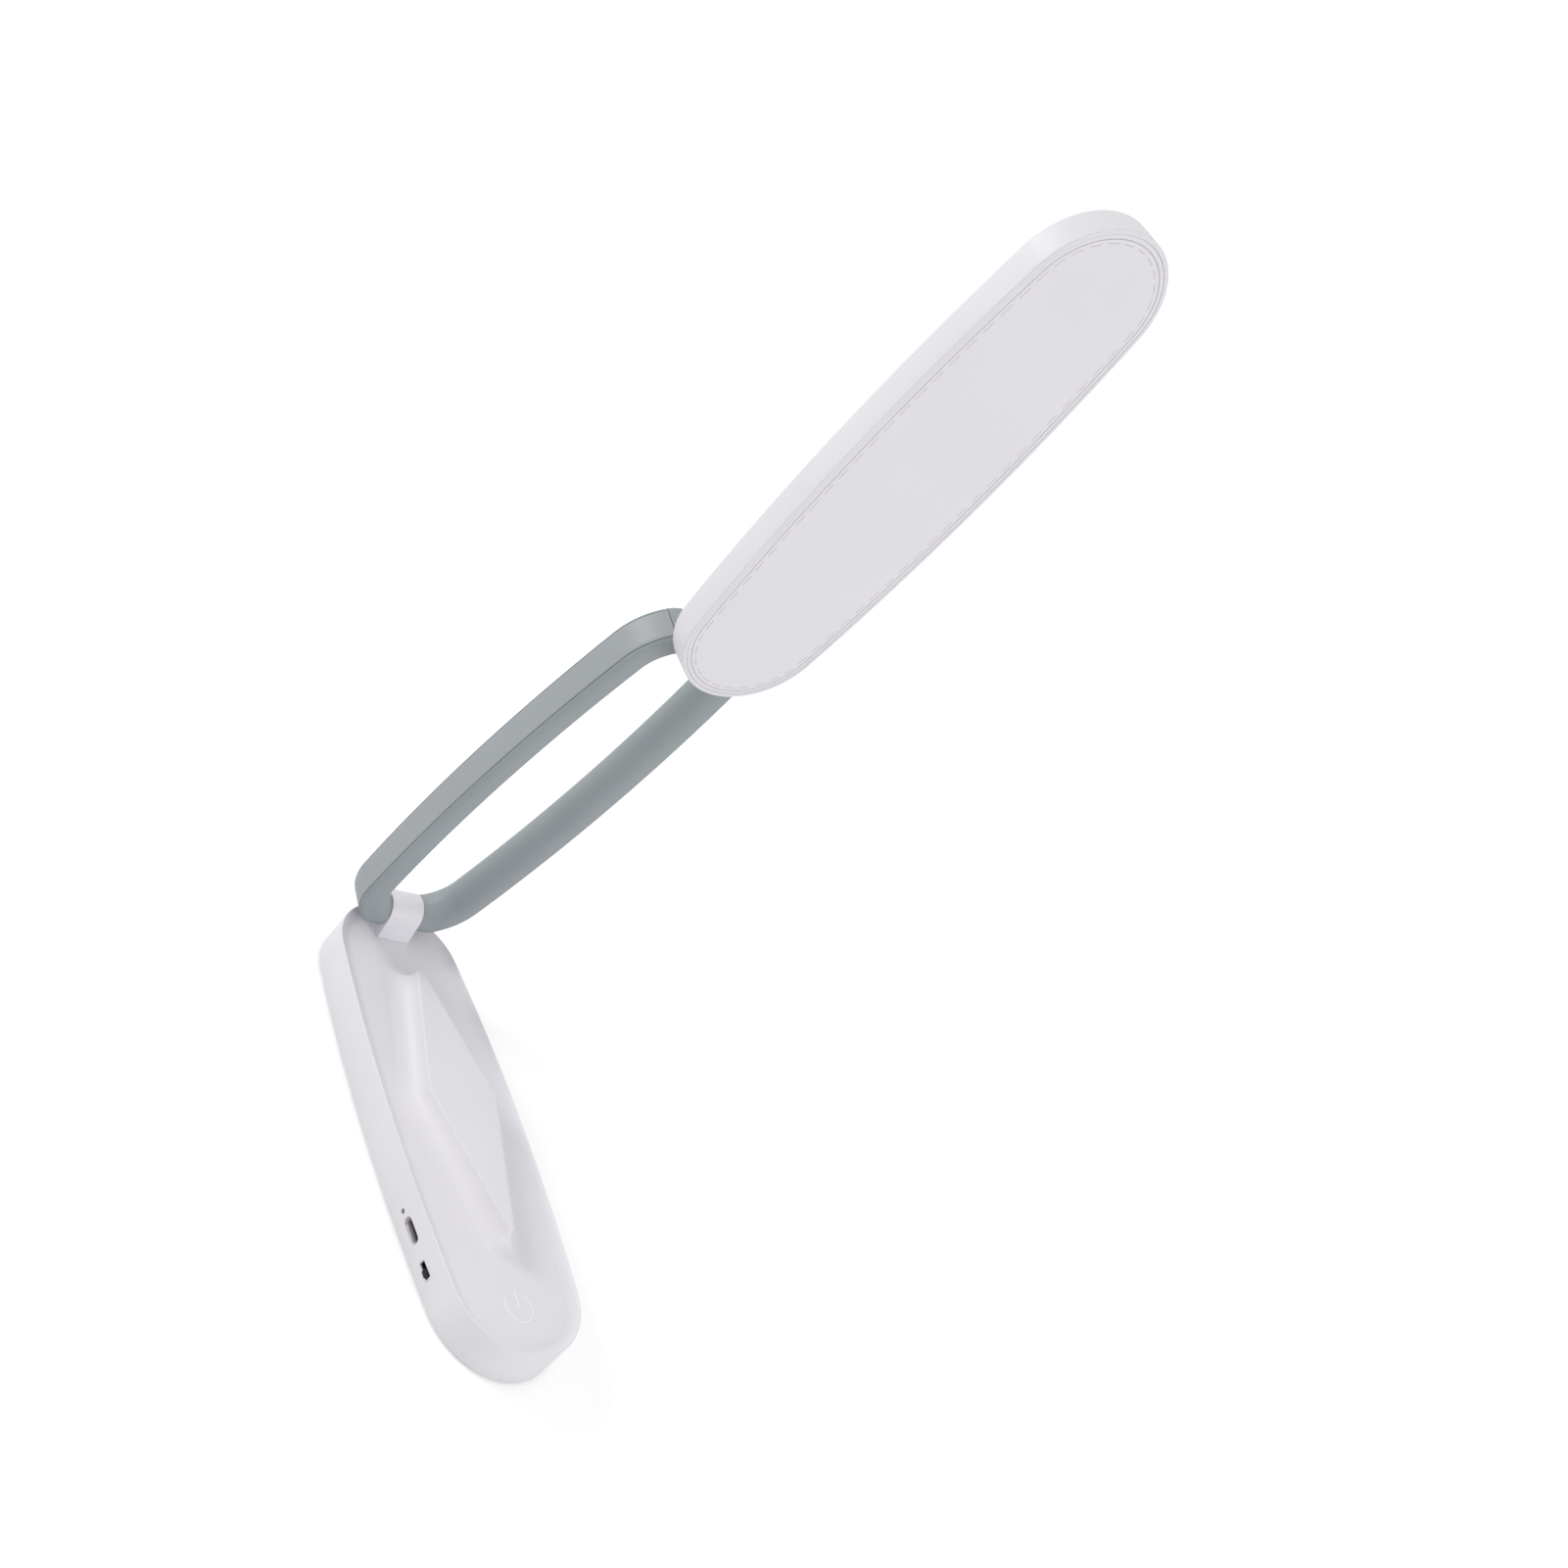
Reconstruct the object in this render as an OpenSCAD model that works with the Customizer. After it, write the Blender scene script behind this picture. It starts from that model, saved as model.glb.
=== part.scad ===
// Folding LED desk lamp: a flat base, a ring-shaped arm and a flat light head.
// Millimetres, +Z up. The origin is on the table under the middle of the base.
// +X runs along both hinge pins, +Y points to the hinge end of the base and
// -Y to the end with the touch key.

/* [Body outline] */
// Length of the base and of the light head, end to end
body_l = 177; // [168:1:186]
// Width of the base and of the light head across the middle
body_w = 54; // [53:0.5:56]
// Radius of the rounded ends of the base and of the light head
end_r = 24; // [23.5:0.25:24.5]

/* [Base] */
// Height of the rim of the base above the table
base_h = 15; // [14.5:0.25:17]
// Thickness of the side wall of the base
base_wall = 2; // [1.6:0.1:2.2]
// Thickness of the floor of the top recess
base_floor = 1.8; // [1.5:0.1:2]
// How far the plateau of the island stands above the rim
island_h = 6.2; // [4.8:0.1:6.2]
// Width of the island plateau at its widest point
island_w = 26.8; // [22:0.2:27]
// Distance from the middle of the base to the rear tip of the island
island_rear = 52.8; // [46:0.2:53.4]
// Distance from the middle of the base to the front tip of the island
island_front = 48.5; // [44:0.5:52]

/* [Base underside] */
// Thickness of the bottom cover
cover_t = 2.6; // [2.4:0.1:2.7]
// How far the rubber pad stands out below the bottom cover
pad_out = 0.6; // [0.4:0.1:0.7]
// Gap between the edge of the bottom cover and the edge of the rubber pad
pad_edge = 5; // [4:0.5:8]

/* [Inside the base] */
// Thickness of the steel ballast plate
ballast_t = 2.4; // [1.6:0.2:2.6]
// Length of the battery
battery_l = 72; // [60:1:76]
// Width of the battery
battery_w = 33; // [26:1:34]
// Distance from the middle of the base forward to the battery's front edge
battery_front = 22; // [20:0.5:23]
// Length of the steel ballast plate
ballast_l = 86; // [70:1:88]

/* [Controls] */
// Distance from the middle of the base forward to the charging port
port_y = 41.3; // [40.5:0.1:42]
// Distance from the middle of the base forward to the indicator
light_y = 34.1; // [33.6:0.1:34.6]
// Distance from the middle of the base forward to the slide switch
switch_y = 54.5; // [54:0.1:55]
// Distance from the middle of the base forward to the touch key
touch_y = 71; // [70:0.5:72]
// Outer diameter of the touch mark
mark_d = 10.8; // [8:0.2:11]
// Travel of the slide switch from its middle to either end
switch_travel = 1.3; // [0.8:0.1:1.4]
// Place of the knob in its slot, -1 at the front end and 1 at the rear end
switch_at = -1; // [-1:0.5:1]

/* [Ring arm] */
// Thickness of the ring arm, which is also the diameter of the knuckles
arm_t = 13.8; // [13.4:0.1:14.1]
// Inset of the ring arm's outline from the outline of the base
ring_inset = 0.4; // [0.4:0.05:0.8]
// Width of each limb of the ring arm from its outer wall to its nose
limb_w = 11.2; // [10.8:0.1:11.6]
// Radius of the rounded outer edges of the ring arm
front_round = 3; // [2.6:0.1:3.2]
// Thickness of the ring arm at its end bars
end_t = 12.6; // [12.3:0.1:13]
// Wall thickness of the hollow limbs
limb_wall = 1.8; // [1.5:0.1:2]
// Thickness of the cover strips let into the limbs
strip_t = 1.2; // [1:0.1:1.3]
// Angle of the ring arm to the base, 0 when folded flat
arm_angle = 80.3; // [6:0.1:85.3]

/* [Hinges] */
// Width of the white knuckle that wraps each end bar
knuckle_w = 13.2; // [12.6:0.2:13.4]
// Gap between a knuckle and the ring arm at each side
knuckle_gap = 0.3; // [0.3:0.05:0.5]
// Diameter of the hinge pins
pin_d = 5; // [4.6:0.1:5.2]
// Running clearance of the hinge pins in their bores, on the radius
pin_fit = 0.05; // [0.04:0.01:0.08]

/* [Light head] */
// Thickness of the light head
head_t = 9.6; // [9.4:0.1:10.5]
// Gap between the back of the light head and the ring arm
head_gap = 0.25; // [0.25:0.05:0.5]
// Thickness of the wall of the head shell
head_wall = 1.4; // [1.2:0.1:1.5]
// Thickness of the diffuser
diffuser_t = 1.6; // [1.2:0.1:1.8]
// Angle by which the light head leans back from the line of the ring arm
head_tilt = 5.8; // [0:0.1:180]

/* [Hidden] */
hw = body_w/2;
rear = body_l/2;
// pivot of the base hinge: one bar radius in from the end of the ring
bar_r = arm_t/2;
pin_in = bar_r + ring_inset;
sink = 1.6;
piv_y = rear - pin_in;
piv_z = base_h + bar_r - sink;
reach = body_l - 2*pin_in;
floor_z = piv_z - bar_r - 0.3;
under_z = floor_z - base_floor;
cover_z = pad_out;
cover_top = pad_out + cover_t;
pad_t = pad_out + 1;
// ring outline, the base outline moved inwards
arm_l = body_l - 2*ring_inset;
arm_w = body_w - 2*ring_inset;
arm_r = end_r - ring_inset;
gap_x = knuckle_w/2 + knuckle_gap;
pin_r = pin_d/2;
bush_r = pin_r + 1.5;
pin_end = 13.6;
head_z = bar_r + head_gap;
// angle of the light head to the base
head_angle = arm_angle + head_tilt;
flank_r = 8.2;
plateau_z = base_h + island_h;
eps = 0.01;

// Large radius of the long sides of an outline of length l, width w and end radius r
function side_r(l, w, r) = round(1000*(pow(l/2 - r, 2) + pow(w/2, 2) - r*r)/(w - 2*r))/1000;
// Angle at which a long side hands over to a rounded end
function side_a(l, w, r) = asin((l/2 - r)/(side_r(l, w, r) - r));
// Distance from the middle to the centre of a long side's arc
function side_c(l, w, r) = (side_r(l, w, r) - r)*cos(side_a(l, w, r));
// Half width of the base at the distance y from its middle
function wall_x(y) = sqrt(pow(side_r(body_l, body_w, end_r), 2) - y*y) - side_c(body_l, body_w, end_r);

// Flat outline with bulged long sides and round ends, moved inwards by d
module plan(l, w, r, d) {
  a = l/2 - r;
  c = side_c(l, w, r);
  k = a/c;
  for (e = [-1, 1])
    translate([0, e*a]) circle(r = r - d, $fn = 96);
  for (m = [0, 1])
    mirror([m, 0])
      intersection() {
        translate([-c, 0]) circle(r = side_r(l, w, r) - d, $fn = 720);
        polygon([[0, -a], [w/2 + 1, -a - (w/2 + 1)*k], [w/2 + 1, a + (w/2 + 1)*k], [0, a]]);
      }
}

// Quarter of a sweep round the outline, from the middle of the right side to
// the angle stop on the rear end. In the section x = 0 is the outline and
// inwards is negative.
module quarter(l, w, r, stop) {
  s = side_r(l, w, r);
  t = side_a(l, w, r);
  intersection() {
    translate([0, l/2 - r, 0])
      rotate([0, 0, t]) {
        rotate_extrude(angle = stop - t, $fn = 96)
          translate([r, 0]) children();
        translate([r - s, 0, 0])
          mirror([0, 1, 0])
            rotate_extrude(angle = t + 0.02, $fn = 1440)
              translate([s, 0]) children();
      }
    translate([0, 0, -50]) cube([100, 150, 100]);
  }
}

// Section carried once round the outline
module loop(l, w, r) {
  for (m = [0, 1])
    mirror([m, 0, 0])
      for (n = [0, 1])
        mirror([0, n, 0])
          quarter(l, w, r, 91) children();
}

// The same section along the right long side only, running on into both ends
// as far as the angle stop
module limb(l, w, r, stop) {
  for (n = [0, 1])
    mirror([0, n, 0])
      quarter(l, w, r, stop) children();
}

module slab(z0, z1, d) {
  translate([0, 0, z0])
    linear_extrude(z1 - z0)
      plan(body_l, body_w, end_r, d);
}

// Rod of radius r from the point p upwards over the height h
module post(p, r, h) {
  translate(p) cylinder(r = r, h = h, $fn = 48);
}

// Rod along X, centred
module bar(r, x0, x1) {
  translate([x0, 0, 0])
    rotate([0, 90, 0])
      cylinder(r = r, h = x1 - x0, $fn = 64);
}

// Ring arm frame of reference: origin on the base pivot, +Y towards the head
// and +Z out of the front of the ring
module on_arm() {
  translate([0, piv_y, piv_z])
    rotate([180 - arm_angle, 0, 0])
      children();
}

// Head frame of reference: origin on the head pivot, +Y towards the far end of
// the head and +Z out of the diffuser
module on_head() {
  translate([0, piv_y - reach*cos(arm_angle), piv_z + reach*sin(arm_angle)])
    rotate([180 - head_angle, 0, 0])
      children();
}

// The base and what is inside it

// Screws of the bottom cover: two pairs along the sides and one at the front end
cover_y = [rear - 48.5, -6];
front_in = end_r - base_wall - 6.1;
front_pair = [front_in*cos(28.2), -(rear - end_r) - front_in*sin(28.2)];
cover_points = [for (e = [-1, 1]) for (y = cover_y) [e*(wall_x(y) - base_wall - 3.7), y],
  for (e = [-1, 1]) [e*front_pair[0], front_pair[1]]];

// Section of the side wall, the thin rim and the cove that falls to the recess
module base_section() {
  cove = front_round + 0.3;
  cove_x = -(ring_inset + front_round);
  edge = 0.2;
  difference() {
    union() {
      translate([-base_wall, cover_z]) square([base_wall, base_h - edge - cover_z]);
      translate([cove_x, under_z + 0.1]) square([-cove_x - edge, base_h - under_z - 0.1]);
      translate([-edge, base_h - edge]) circle(r = edge, $fn = 32);
    }
    translate([cove_x, floor_z - 0.03 + cove]) circle(r = cove, $fn = 96);
  }
}

// One long flank of the island, a concave trough beside the edge from p to q
module flank(p, q) {
  v = q - p;
  n = norm(v);
  turn = atan2(v[1], v[0]);
  drop = floor_z - 0.05 + flank_r;
  run = sqrt(flank_r*flank_r - pow(drop - plateau_z, 2));
  translate([p[0], p[1], 0])
    rotate([0, 0, turn])
      translate([-30, -run, drop])
        rotate([0, 90, 0])
          cylinder(r = flank_r, h = n + 60, $fn = 96);
}

// Everything on the inner side of the edge from p to q moved outwards by d
module inner_side(p, q, d) {
  v = q - p;
  translate([p[0], p[1]])
    rotate([0, 0, atan2(v[1], v[0])])
      translate([-200, -d]) square([400, 200]);
}

// Corners of the island plateau, counter-clockwise from the front tip
tip = 1.2;
wide_y = 2;
corner = [[-tip, -island_front], [tip, -island_front], [island_w/2, wide_y], [tip, island_rear],
  [-tip, island_rear], [-island_w/2, wide_y]];

module island_foot(d) {
  intersection_for (i = [0:5])
    inner_side(corner[i], corner[(i + 1) % 6], d);
}

module island() {
  difference() {
    translate([0, 0, under_z + 0.3])
      linear_extrude(plateau_z - under_z - 0.3)
        island_foot(7.6);
    for (i = [0:5])
      flank(corner[i], corner[(i + 1) % 6]);
  }
}

module base_shell() {
  color([0.87, 0.86, 0.88])
  difference() {
    union() {
      loop(body_l, body_w, end_r) base_section();
      slab(under_z, floor_z, ring_inset + front_round - 0.8);
      island();
      for (p = cover_points)
        post([p[0], p[1], cover_top], 2.6, under_z - cover_top + 0.5);
    }
    // hollow under the island
    translate([0, 0, under_z - 1])
      linear_extrude(plateau_z - base_floor - under_z + 1)
        island_foot(-1.4);
    // seat of the knuckle
    translate([-5.1, piv_y - 6.1, under_z - 1]) cube([10.2, 7.2, base_floor + 2]);
    // screw holes of the bottom cover
    for (p = cover_points)
      post([p[0], p[1], cover_top - 1], 1.05, 6.4);
    // charging port
    translate([-wall_x(port_y) - 1, -port_y, port_z])
      rotate([0, 90, 0])
        linear_extrude(base_wall + 3)
          pill2d(3.26 + 0.3, 8.94 + 0.3);
    // slide switch
    translate([-wall_x(switch_y) - 1, -switch_y, switch_z])
      rotate([0, 90, 0])
        linear_extrude(base_wall + 3)
          square([2.4, 2*(1.2 + switch_travel + 0.3)], center = true);
    // indicator
    translate([-wall_x(light_y) - 1, -light_y, light_z]) bar(0.85, 0, base_wall + 3);
    // shallow pocket of the touch mark
    translate([0, -touch_y, floor_z - 0.3])
      linear_extrude(1)
        power_sign();
  }
}

module pill2d(a, b) {
  square([a, b - a], center = true);
  for (e = [-1, 1])
    translate([0, e*(b - a)/2]) circle(d = a, $fn = 48);
}

// Open ring with a bar in its gap that points to the hinge
module power_sign() {
  t = mark_d*0.075;
  difference() {
    circle(r = mark_d/2, $fn = 96);
    circle(r = mark_d/2 - t, $fn = 96);
    translate([0, mark_d/2]) square([mark_d*0.5, mark_d], center = true);
  }
  translate([-t/2, mark_d*0.08]) square([t, mark_d*0.42]);
}

module touch_mark() {
  color([0.80, 0.80, 0.82])
    translate([0, -touch_y, floor_z - 0.3])
      linear_extrude(0.27)
        power_sign();
}

module base_cover() {
  color([0.84, 0.83, 0.85])
  difference() {
    union() {
      slab(cover_z, cover_top, base_wall + 0.1);
      for (p = [[-19, -34], [8, -34], [-16, -58], [8, -58]])
        post([p[0], p[1], cover_top - eps], 2, board_z - cover_top + eps);
    }
    slab(cover_z - 1, cover_z + 1, base_wall + 0.1 + pad_edge);
    for (p = cover_points) {
      post([p[0], p[1], 0], 1.05, 6);
      post([p[0], p[1], 0], 2.1, cover_z + 1.9);
    }
  }
}

module foot_pad() {
  color([0.62, 0.62, 0.64])
    slab(0, pad_t - 0.02, base_wall + 0.1 + pad_edge + 0.1);
}

module cover_screws() {
  color([0.55, 0.55, 0.57])
    for (p = cover_points) {
      post([p[0], p[1], cover_z + 1.05], 1.9, 0.83);
      post([p[0], p[1], cover_z + 1.5], 1, 6);
    }
}

module ballast_plate() {
  color([0.50, 0.51, 0.53])
    translate([-battery_w/2, -battery_front - 2, cover_top])
      cube([battery_w, ballast_l, ballast_t]);
}

battery_z = cover_top + ballast_t;
battery_h = under_z - 0.5 - battery_z;
module battery() {
  color([0.75, 0.76, 0.78])
    translate([0, -battery_front, battery_z])
      rotate([-90, 0, 0])
        linear_extrude(battery_l)
          pouch_section();
}

// Flat pouch section with round long edges
module pouch_section() {
  r = battery_h/2;
  translate([-battery_w/2 + r, -battery_h]) square([battery_w - 2*r, battery_h]);
  for (e = [-1, 1])
    translate([e*(battery_w/2 - r), -r]) circle(r = r, $fn = 48);
}

// Control board, its underside just above the bottom cover
board_z = cover_top + 0.7;
board_t = 1.2;
board_top = board_z + board_t;
port_z = board_top + 1.63;
switch_z = board_top + 1.1;
light_z = board_top + 1.1;
board_front = switch_y + 7.5;
board_back = light_y - 4.1;
board_left = wall_x(board_front) - base_wall - 0.7;
board_w = 33.6;
tongue_w = 16;

module control_board() {
  color([0.16, 0.36, 0.24])
  union() {
    translate([-board_left, -board_front, board_z]) cube([board_w, board_front - board_back, board_t]);
    translate([-tongue_w/2, -touch_y - 6, board_z]) cube([tongue_w, touch_y - switch_y - 0.5, board_t]);
    // indicator lamp, controller, coil and capacitors
    translate([1 - board_left, -light_y - 1, board_top - eps]) cube([2.4, 2, 2]);
    translate([-6, -46, board_top - eps]) cube([7, 7, 1]);
    translate([-4, -57, board_top - eps]) cube([5, 5, 2.4]);
    translate([4, -50, board_top - eps]) cube([4, 2.4, 1.4]);
    translate([4, -42, board_top - eps]) cube([6, 5, 4]);
  }
}

module charging_port() {
  front = -wall_x(port_y) + 0.5;
  color([0.70, 0.71, 0.73])
  translate([front, -port_y, port_z])
    rotate([0, 90, 0]) {
      difference() {
        linear_extrude(7.3) pill2d(3.26, 8.94);
        translate([0, 0, -1]) linear_extrude(6.6) pill2d(2.66, 8.34);
      }
      translate([-0.35, -3.35, 0.9]) cube([0.7, 6.7, 5]);
    }
}

// Inner face of the base wall beside the slide switch
switch_x = -(wall_x(switch_y) - base_wall) + 0.7;
module switch_body() {
  color([0.25, 0.25, 0.27])
  difference() {
    translate([switch_x, -switch_y - 4.6, board_top]) cube([3.6, 9.2, 3.2]);
    translate([switch_x - 1, -switch_y - 1 - switch_travel - 0.3, switch_z - 0.7])
      cube([3.6, 2*(1 + switch_travel + 0.3), 1.4]);
  }
}

module switch_knob() {
  out = -wall_x(switch_y) - 0.8;
  color([0.10, 0.10, 0.11])
  translate([0, switch_at*switch_travel, 0]) {
    translate([switch_x - 0.2, -switch_y - 1, switch_z - 0.6]) cube([2.6, 2, 1.2]);
    translate([out, -switch_y - 1.2, switch_z - 0.85]) cube([switch_x - 0.15 - out, 2.4, 1.7]);
  }
}

module indicator_pipe() {
  color([0.90, 0.92, 0.90])
    translate([0, -light_y, light_z])
      bar(0.8, -wall_x(light_y) + 0.15, 0.9 - board_left);
}

module touch_plate() {
  color([0.80, 0.62, 0.30])
    post([0, -touch_y, under_z - 0.3], 5.5, 0.3);
}

module touch_contact() {
  color([0.80, 0.68, 0.40]) {
    post([0, -touch_y, board_top], 1.3, 3);
    post([0, -touch_y, board_top + 2.9], 0.7, under_z - 0.3 - board_top - 2.9);
  }
}

// Knuckles and hinge parts

// Side view of a knuckle: the barrel round the pin and a foot that leans out
// by 10 degrees and stands on a face at the distance f from the pivot. In this
// view x is up the foot's back and y is away from the face.
module knuckle_side(f) {
  lean = 10;
  r = bar_r;
  circle(r = r, $fn = 96);
  toe = -r*cos(lean) - (f + r*sin(lean))*tan(lean);
  polygon([[0, 0], [-r*cos(lean), r*sin(lean)], [toe, -f], [3.4, -f], [3.4, 0]]);
}

module knuckle(f, seat) {
  difference() {
    union() {
      rotate([90, 0, 90])
        translate([0, 0, -knuckle_w/2])
          linear_extrude(knuckle_w) knuckle_side(f);
      translate([-5, -6, -f - seat]) cube([10, 7, seat + eps]);
    }
    bar(bush_r + 0.02, -20, 20);
    for (e = [-1, 1])
      post([e*3, -2.5, -f - seat - 1], 1.05, seat + 3.2);
  }
}

module base_knuckle() {
  color([0.86, 0.85, 0.87])
    translate([0, piv_y, piv_z])
      knuckle(piv_z - floor_z, base_floor);
}

module base_knuckle_plate() {
  color([0.60, 0.61, 0.63])
  difference() {
    translate([-10, piv_y - 8.5, under_z - 1.5]) cube([20, 10.5, 1.5]);
    for (e = [-1, 1])
      post([e*3, piv_y - 2.5, 0], 1.05, 20);
  }
}

module base_knuckle_screws() {
  color([0.55, 0.55, 0.57])
    for (e = [-1, 1]) {
      post([e*3, piv_y - 2.5, under_z - 1.5 - 1.2], 1.9, 1.2);
      post([e*3, piv_y - 2.5, under_z - 1.6], 1, base_floor + 3.4);
    }
}

module hinge_pin() {
  difference() {
    bar(pin_r, -pin_end, pin_end);
    bar(1.3, -pin_end - 1, pin_end + 1);
  }
}

// Spring washers that give the hinge its friction, one at each side
module hinge_washers() {
  for (m = [0, 1])
    mirror([m, 0, 0])
      difference() {
        bar(bush_r + 0.6, gap_x + 0.1, gap_x + 1.2);
        bar(pin_r + pin_fit, 0, 20);
      }
}

// Plastic sleeve between the knuckle and the pin that turns in it
module hinge_bush() {
  difference() {
    bar(bush_r, -knuckle_w/2, knuckle_w/2);
    bar(pin_r + pin_fit, -20, 20);
  }
}

module base_hinge_bush() {
  color([0.90, 0.90, 0.88])
    translate([0, piv_y, piv_z]) hinge_bush();
}

module base_hinge_pin() {
  color([0.66, 0.67, 0.69])
    on_arm() hinge_pin();
}

module base_hinge_washers() {
  color([0.72, 0.72, 0.74])
    on_arm() hinge_washers();
}

module head_hinge_bush() {
  color([0.90, 0.90, 0.88])
    on_head() hinge_bush();
}

module head_hinge_washers() {
  color([0.72, 0.72, 0.74])
    on_arm() translate([0, reach, 0]) hinge_washers();
}

module head_hinge_pin() {
  color([0.66, 0.67, 0.69])
    on_arm() translate([0, reach, 0]) hinge_pin();
}

// The ring arm

// Section of a limb: half-round towards the opening, flat outside, with
// rounded edges
module limb_section() {
  flat = limb_w - bar_r;
  intersection() {
    translate([-flat, 0]) circle(r = bar_r, $fn = 96);
    translate([-limb_w - 1, -arm_t]) square([bar_r + 1.4, 2*arm_t]);
  }
  translate([-flat, -bar_r]) square([flat - front_round, arm_t]);
  translate([-front_round, front_round - bar_r]) square([front_round, arm_t - 2*front_round]);
  for (e = [-1, 1])
    translate([-front_round, e*(bar_r - front_round)]) circle(r = front_round, $fn = 64);
}

// The cover strip reaches a little way round both edges
strip_front = bar_r - front_round + 1.15;
// angle of the strip's end, just past the line of the pin
stop = asin((arm_r - bar_r + 1.4)/arm_r);

// Side view of the ring arm: a long shape that gets thinner towards two round
// ends, which lie a little nearer to the middle than the pins
module ring_profile() {
  r = end_t/2;
  in = r + 1.1 - bar_r;
  rise = (bar_r - r)/(16 - in)*(reach/2 - in);
  for (e = [-1, 1])
    translate([e*(reach/2 - in), 0]) circle(r = r, $fn = 64);
  polygon([[in - reach/2, -r], [0, -r - rise], [reach/2 - in, -r],
           [reach/2 - in, r], [0, r + rise], [in - reach/2, r]]);
}

module ring_at() {
  translate([0, reach/2, 0]) children();
}

// Right half of the ring: one long limb that turns in at both ends into a
// round stub. The two halves are tied together by the hinge pins.
module arm_limb() {
  difference() {
    intersection() {
      ring_at() limb(arm_l, arm_w, arm_r, 88) limb_section();
      ring_at() translate([-60, 0, 0])
        rotate([90, 0, 90])
          linear_extrude(120) ring_profile();
    }
    // pocket of the cover strip, and the hollow behind it
    ring_at() {
      limb(arm_l, arm_w, arm_r, stop)
        translate([-strip_t, -strip_front]) square([strip_t + 1, 2*strip_front]);
      limb(arm_l, arm_w, arm_r, 18)
        limb_hollow();
    }
    // gap for the knuckle, seats of the washers and bores for the pins
    for (y = [0, reach])
      translate([0, y, 0]) {
        translate([-gap_x, -17.5, -20]) cube([2*gap_x, 35, 40]);
        bar(bush_r + 0.65, 0, gap_x + 1.25);
        bar(pin_r + 0.02, 0, pin_end + 0.05);
      }
  }
}

module arm_limb_right() {
  color([0.63, 0.65, 0.67])
    on_arm() arm_limb();
}

module arm_limb_left() {
  color([0.63, 0.65, 0.67])
    on_arm() mirror([1, 0, 0]) arm_limb();
}

// Hollow of a limb, parallel to its outside, and the slot that opens it
// towards the cover strip
module limb_hollow() {
  flat = limb_w - bar_r;
  r = bar_r - limb_wall;
  intersection() {
    translate([-flat, 0]) circle(r = r, $fn = 64);
    translate([-limb_w, -arm_t]) square([limb_w - strip_t - 1.4, 2*arm_t]);
  }
  translate([-strip_t - 2, 1.4 - strip_front]) square([3, 2*strip_front - 2.8]);
}

module arm_strip() {
  ring_at()
    limb(arm_l, arm_w, arm_r, stop - 0.6)
      intersection() {
        translate([-strip_t, 0.2 - strip_front])
          square([strip_t + 1, 2*strip_front - 0.4]);
        limb_section();
      }
}

module arm_strip_right() {
  color([0.65, 0.67, 0.69])
    on_arm() arm_strip();
}

module arm_strip_left() {
  color([0.65, 0.67, 0.69])
    on_arm() mirror([1, 0, 0]) arm_strip();
}

module arm_flat_cable() {
  color([0.80, 0.55, 0.25])
    on_arm() mirror([1, 0, 0]) ring_at()
      limb(arm_l, arm_w, arm_r, 16)
        translate([-strip_t - 0.25, -2.6]) square([0.25, 4.6]);
}

// The light head

head_mid = reach/2;

// Slab of the head between two heights above its back plane, inset by d
module head_slab(z0, z1, d) {
  translate([0, head_mid, head_z])
    slab(z0, z1, d);
}

// Section of the side wall with a rounded back edge and a fine front edge
module head_section() {
  back = 1.2;
  edge = 0.4;
  translate([-head_wall, back]) square([head_wall, head_t - edge - back]);
  translate([-head_wall, head_t - 1]) square([head_wall - edge, 1]);
  translate([-edge, head_t - edge]) circle(r = edge, $fn = 32);
  translate([-back, back]) circle(r = back, $fn = 48);
  translate([-6, 0]) square([6 - back, 1.6]);
  // ledge that carries the metal plate
  translate([-head_wall - 2.4, 1.6]) square([2.4, plate_z - 1.6]);
}

plate_z = head_t - 5.8;
head_points = [for (y = [-1, 0, 1]) for (e = [-1, 1]) [e*(hw - 10), y*(rear - 38.5)]];
driver_w = 16;
driver_l = 36;
driver_y = 19;

module head_shell() {
  color([0.89, 0.89, 0.90])
  on_head()
  difference() {
    union() {
      translate([0, head_mid, head_z])
        loop(body_l, body_w, end_r) head_section();
      head_slab(0, 1.6, 5);
      for (p = head_points)
        post([p[0], p[1] + head_mid, head_z + 1.5], 2.2, plate_z - 1.5);
      for (y = [driver_y + 1, driver_y + driver_l - 3])
        translate([-driver_w/2 - 1, y, head_z + 1.5]) cube([driver_w + 2, 2, 0.4]);
    }
    for (p = head_points)
      post([p[0], p[1] + head_mid, head_z + 2], 0.85, 4);
    translate([-5.1, -1.1, head_z - 1]) cube([10.2, 7.2, 4]);
  }
}

module head_knuckle() {
  color([0.88, 0.88, 0.89])
    on_head()
      rotate([180, 0, 0]) knuckle(head_z, 1.6);
}

module head_knuckle_plate() {
  color([0.60, 0.61, 0.63])
  on_head()
  difference() {
    translate([-10, -2, head_z + 1.6]) cube([20, 10.5, 1]);
    for (e = [-1, 1])
      post([e*3, 2.5, head_z], 1.05, 8);
  }
}

module head_knuckle_screws() {
  color([0.55, 0.55, 0.57])
  on_head()
    for (e = [-1, 1]) {
      post([e*3, 2.5, head_z + 2.6], 1.9, 1);
      post([e*3, 2.5, head_z - 2], 1, 4.7);
    }
}

module driver_board() {
  color([0.16, 0.36, 0.24])
  on_head() {
    translate([-driver_w/2, driver_y, head_z + 1.9]) cube([driver_w, driver_l, 0.9]);
    translate([-5, driver_y + 7, head_z + 2.8 - eps]) cube([5, 5, 0.8]);
    translate([1, driver_y + 17, head_z + 2.8 - eps]) cube([5, 4, 0.9]);
    translate([-4, driver_y + 27, head_z + 2.8 - eps]) cube([8, 4, 0.9]);
  }
}

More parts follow.
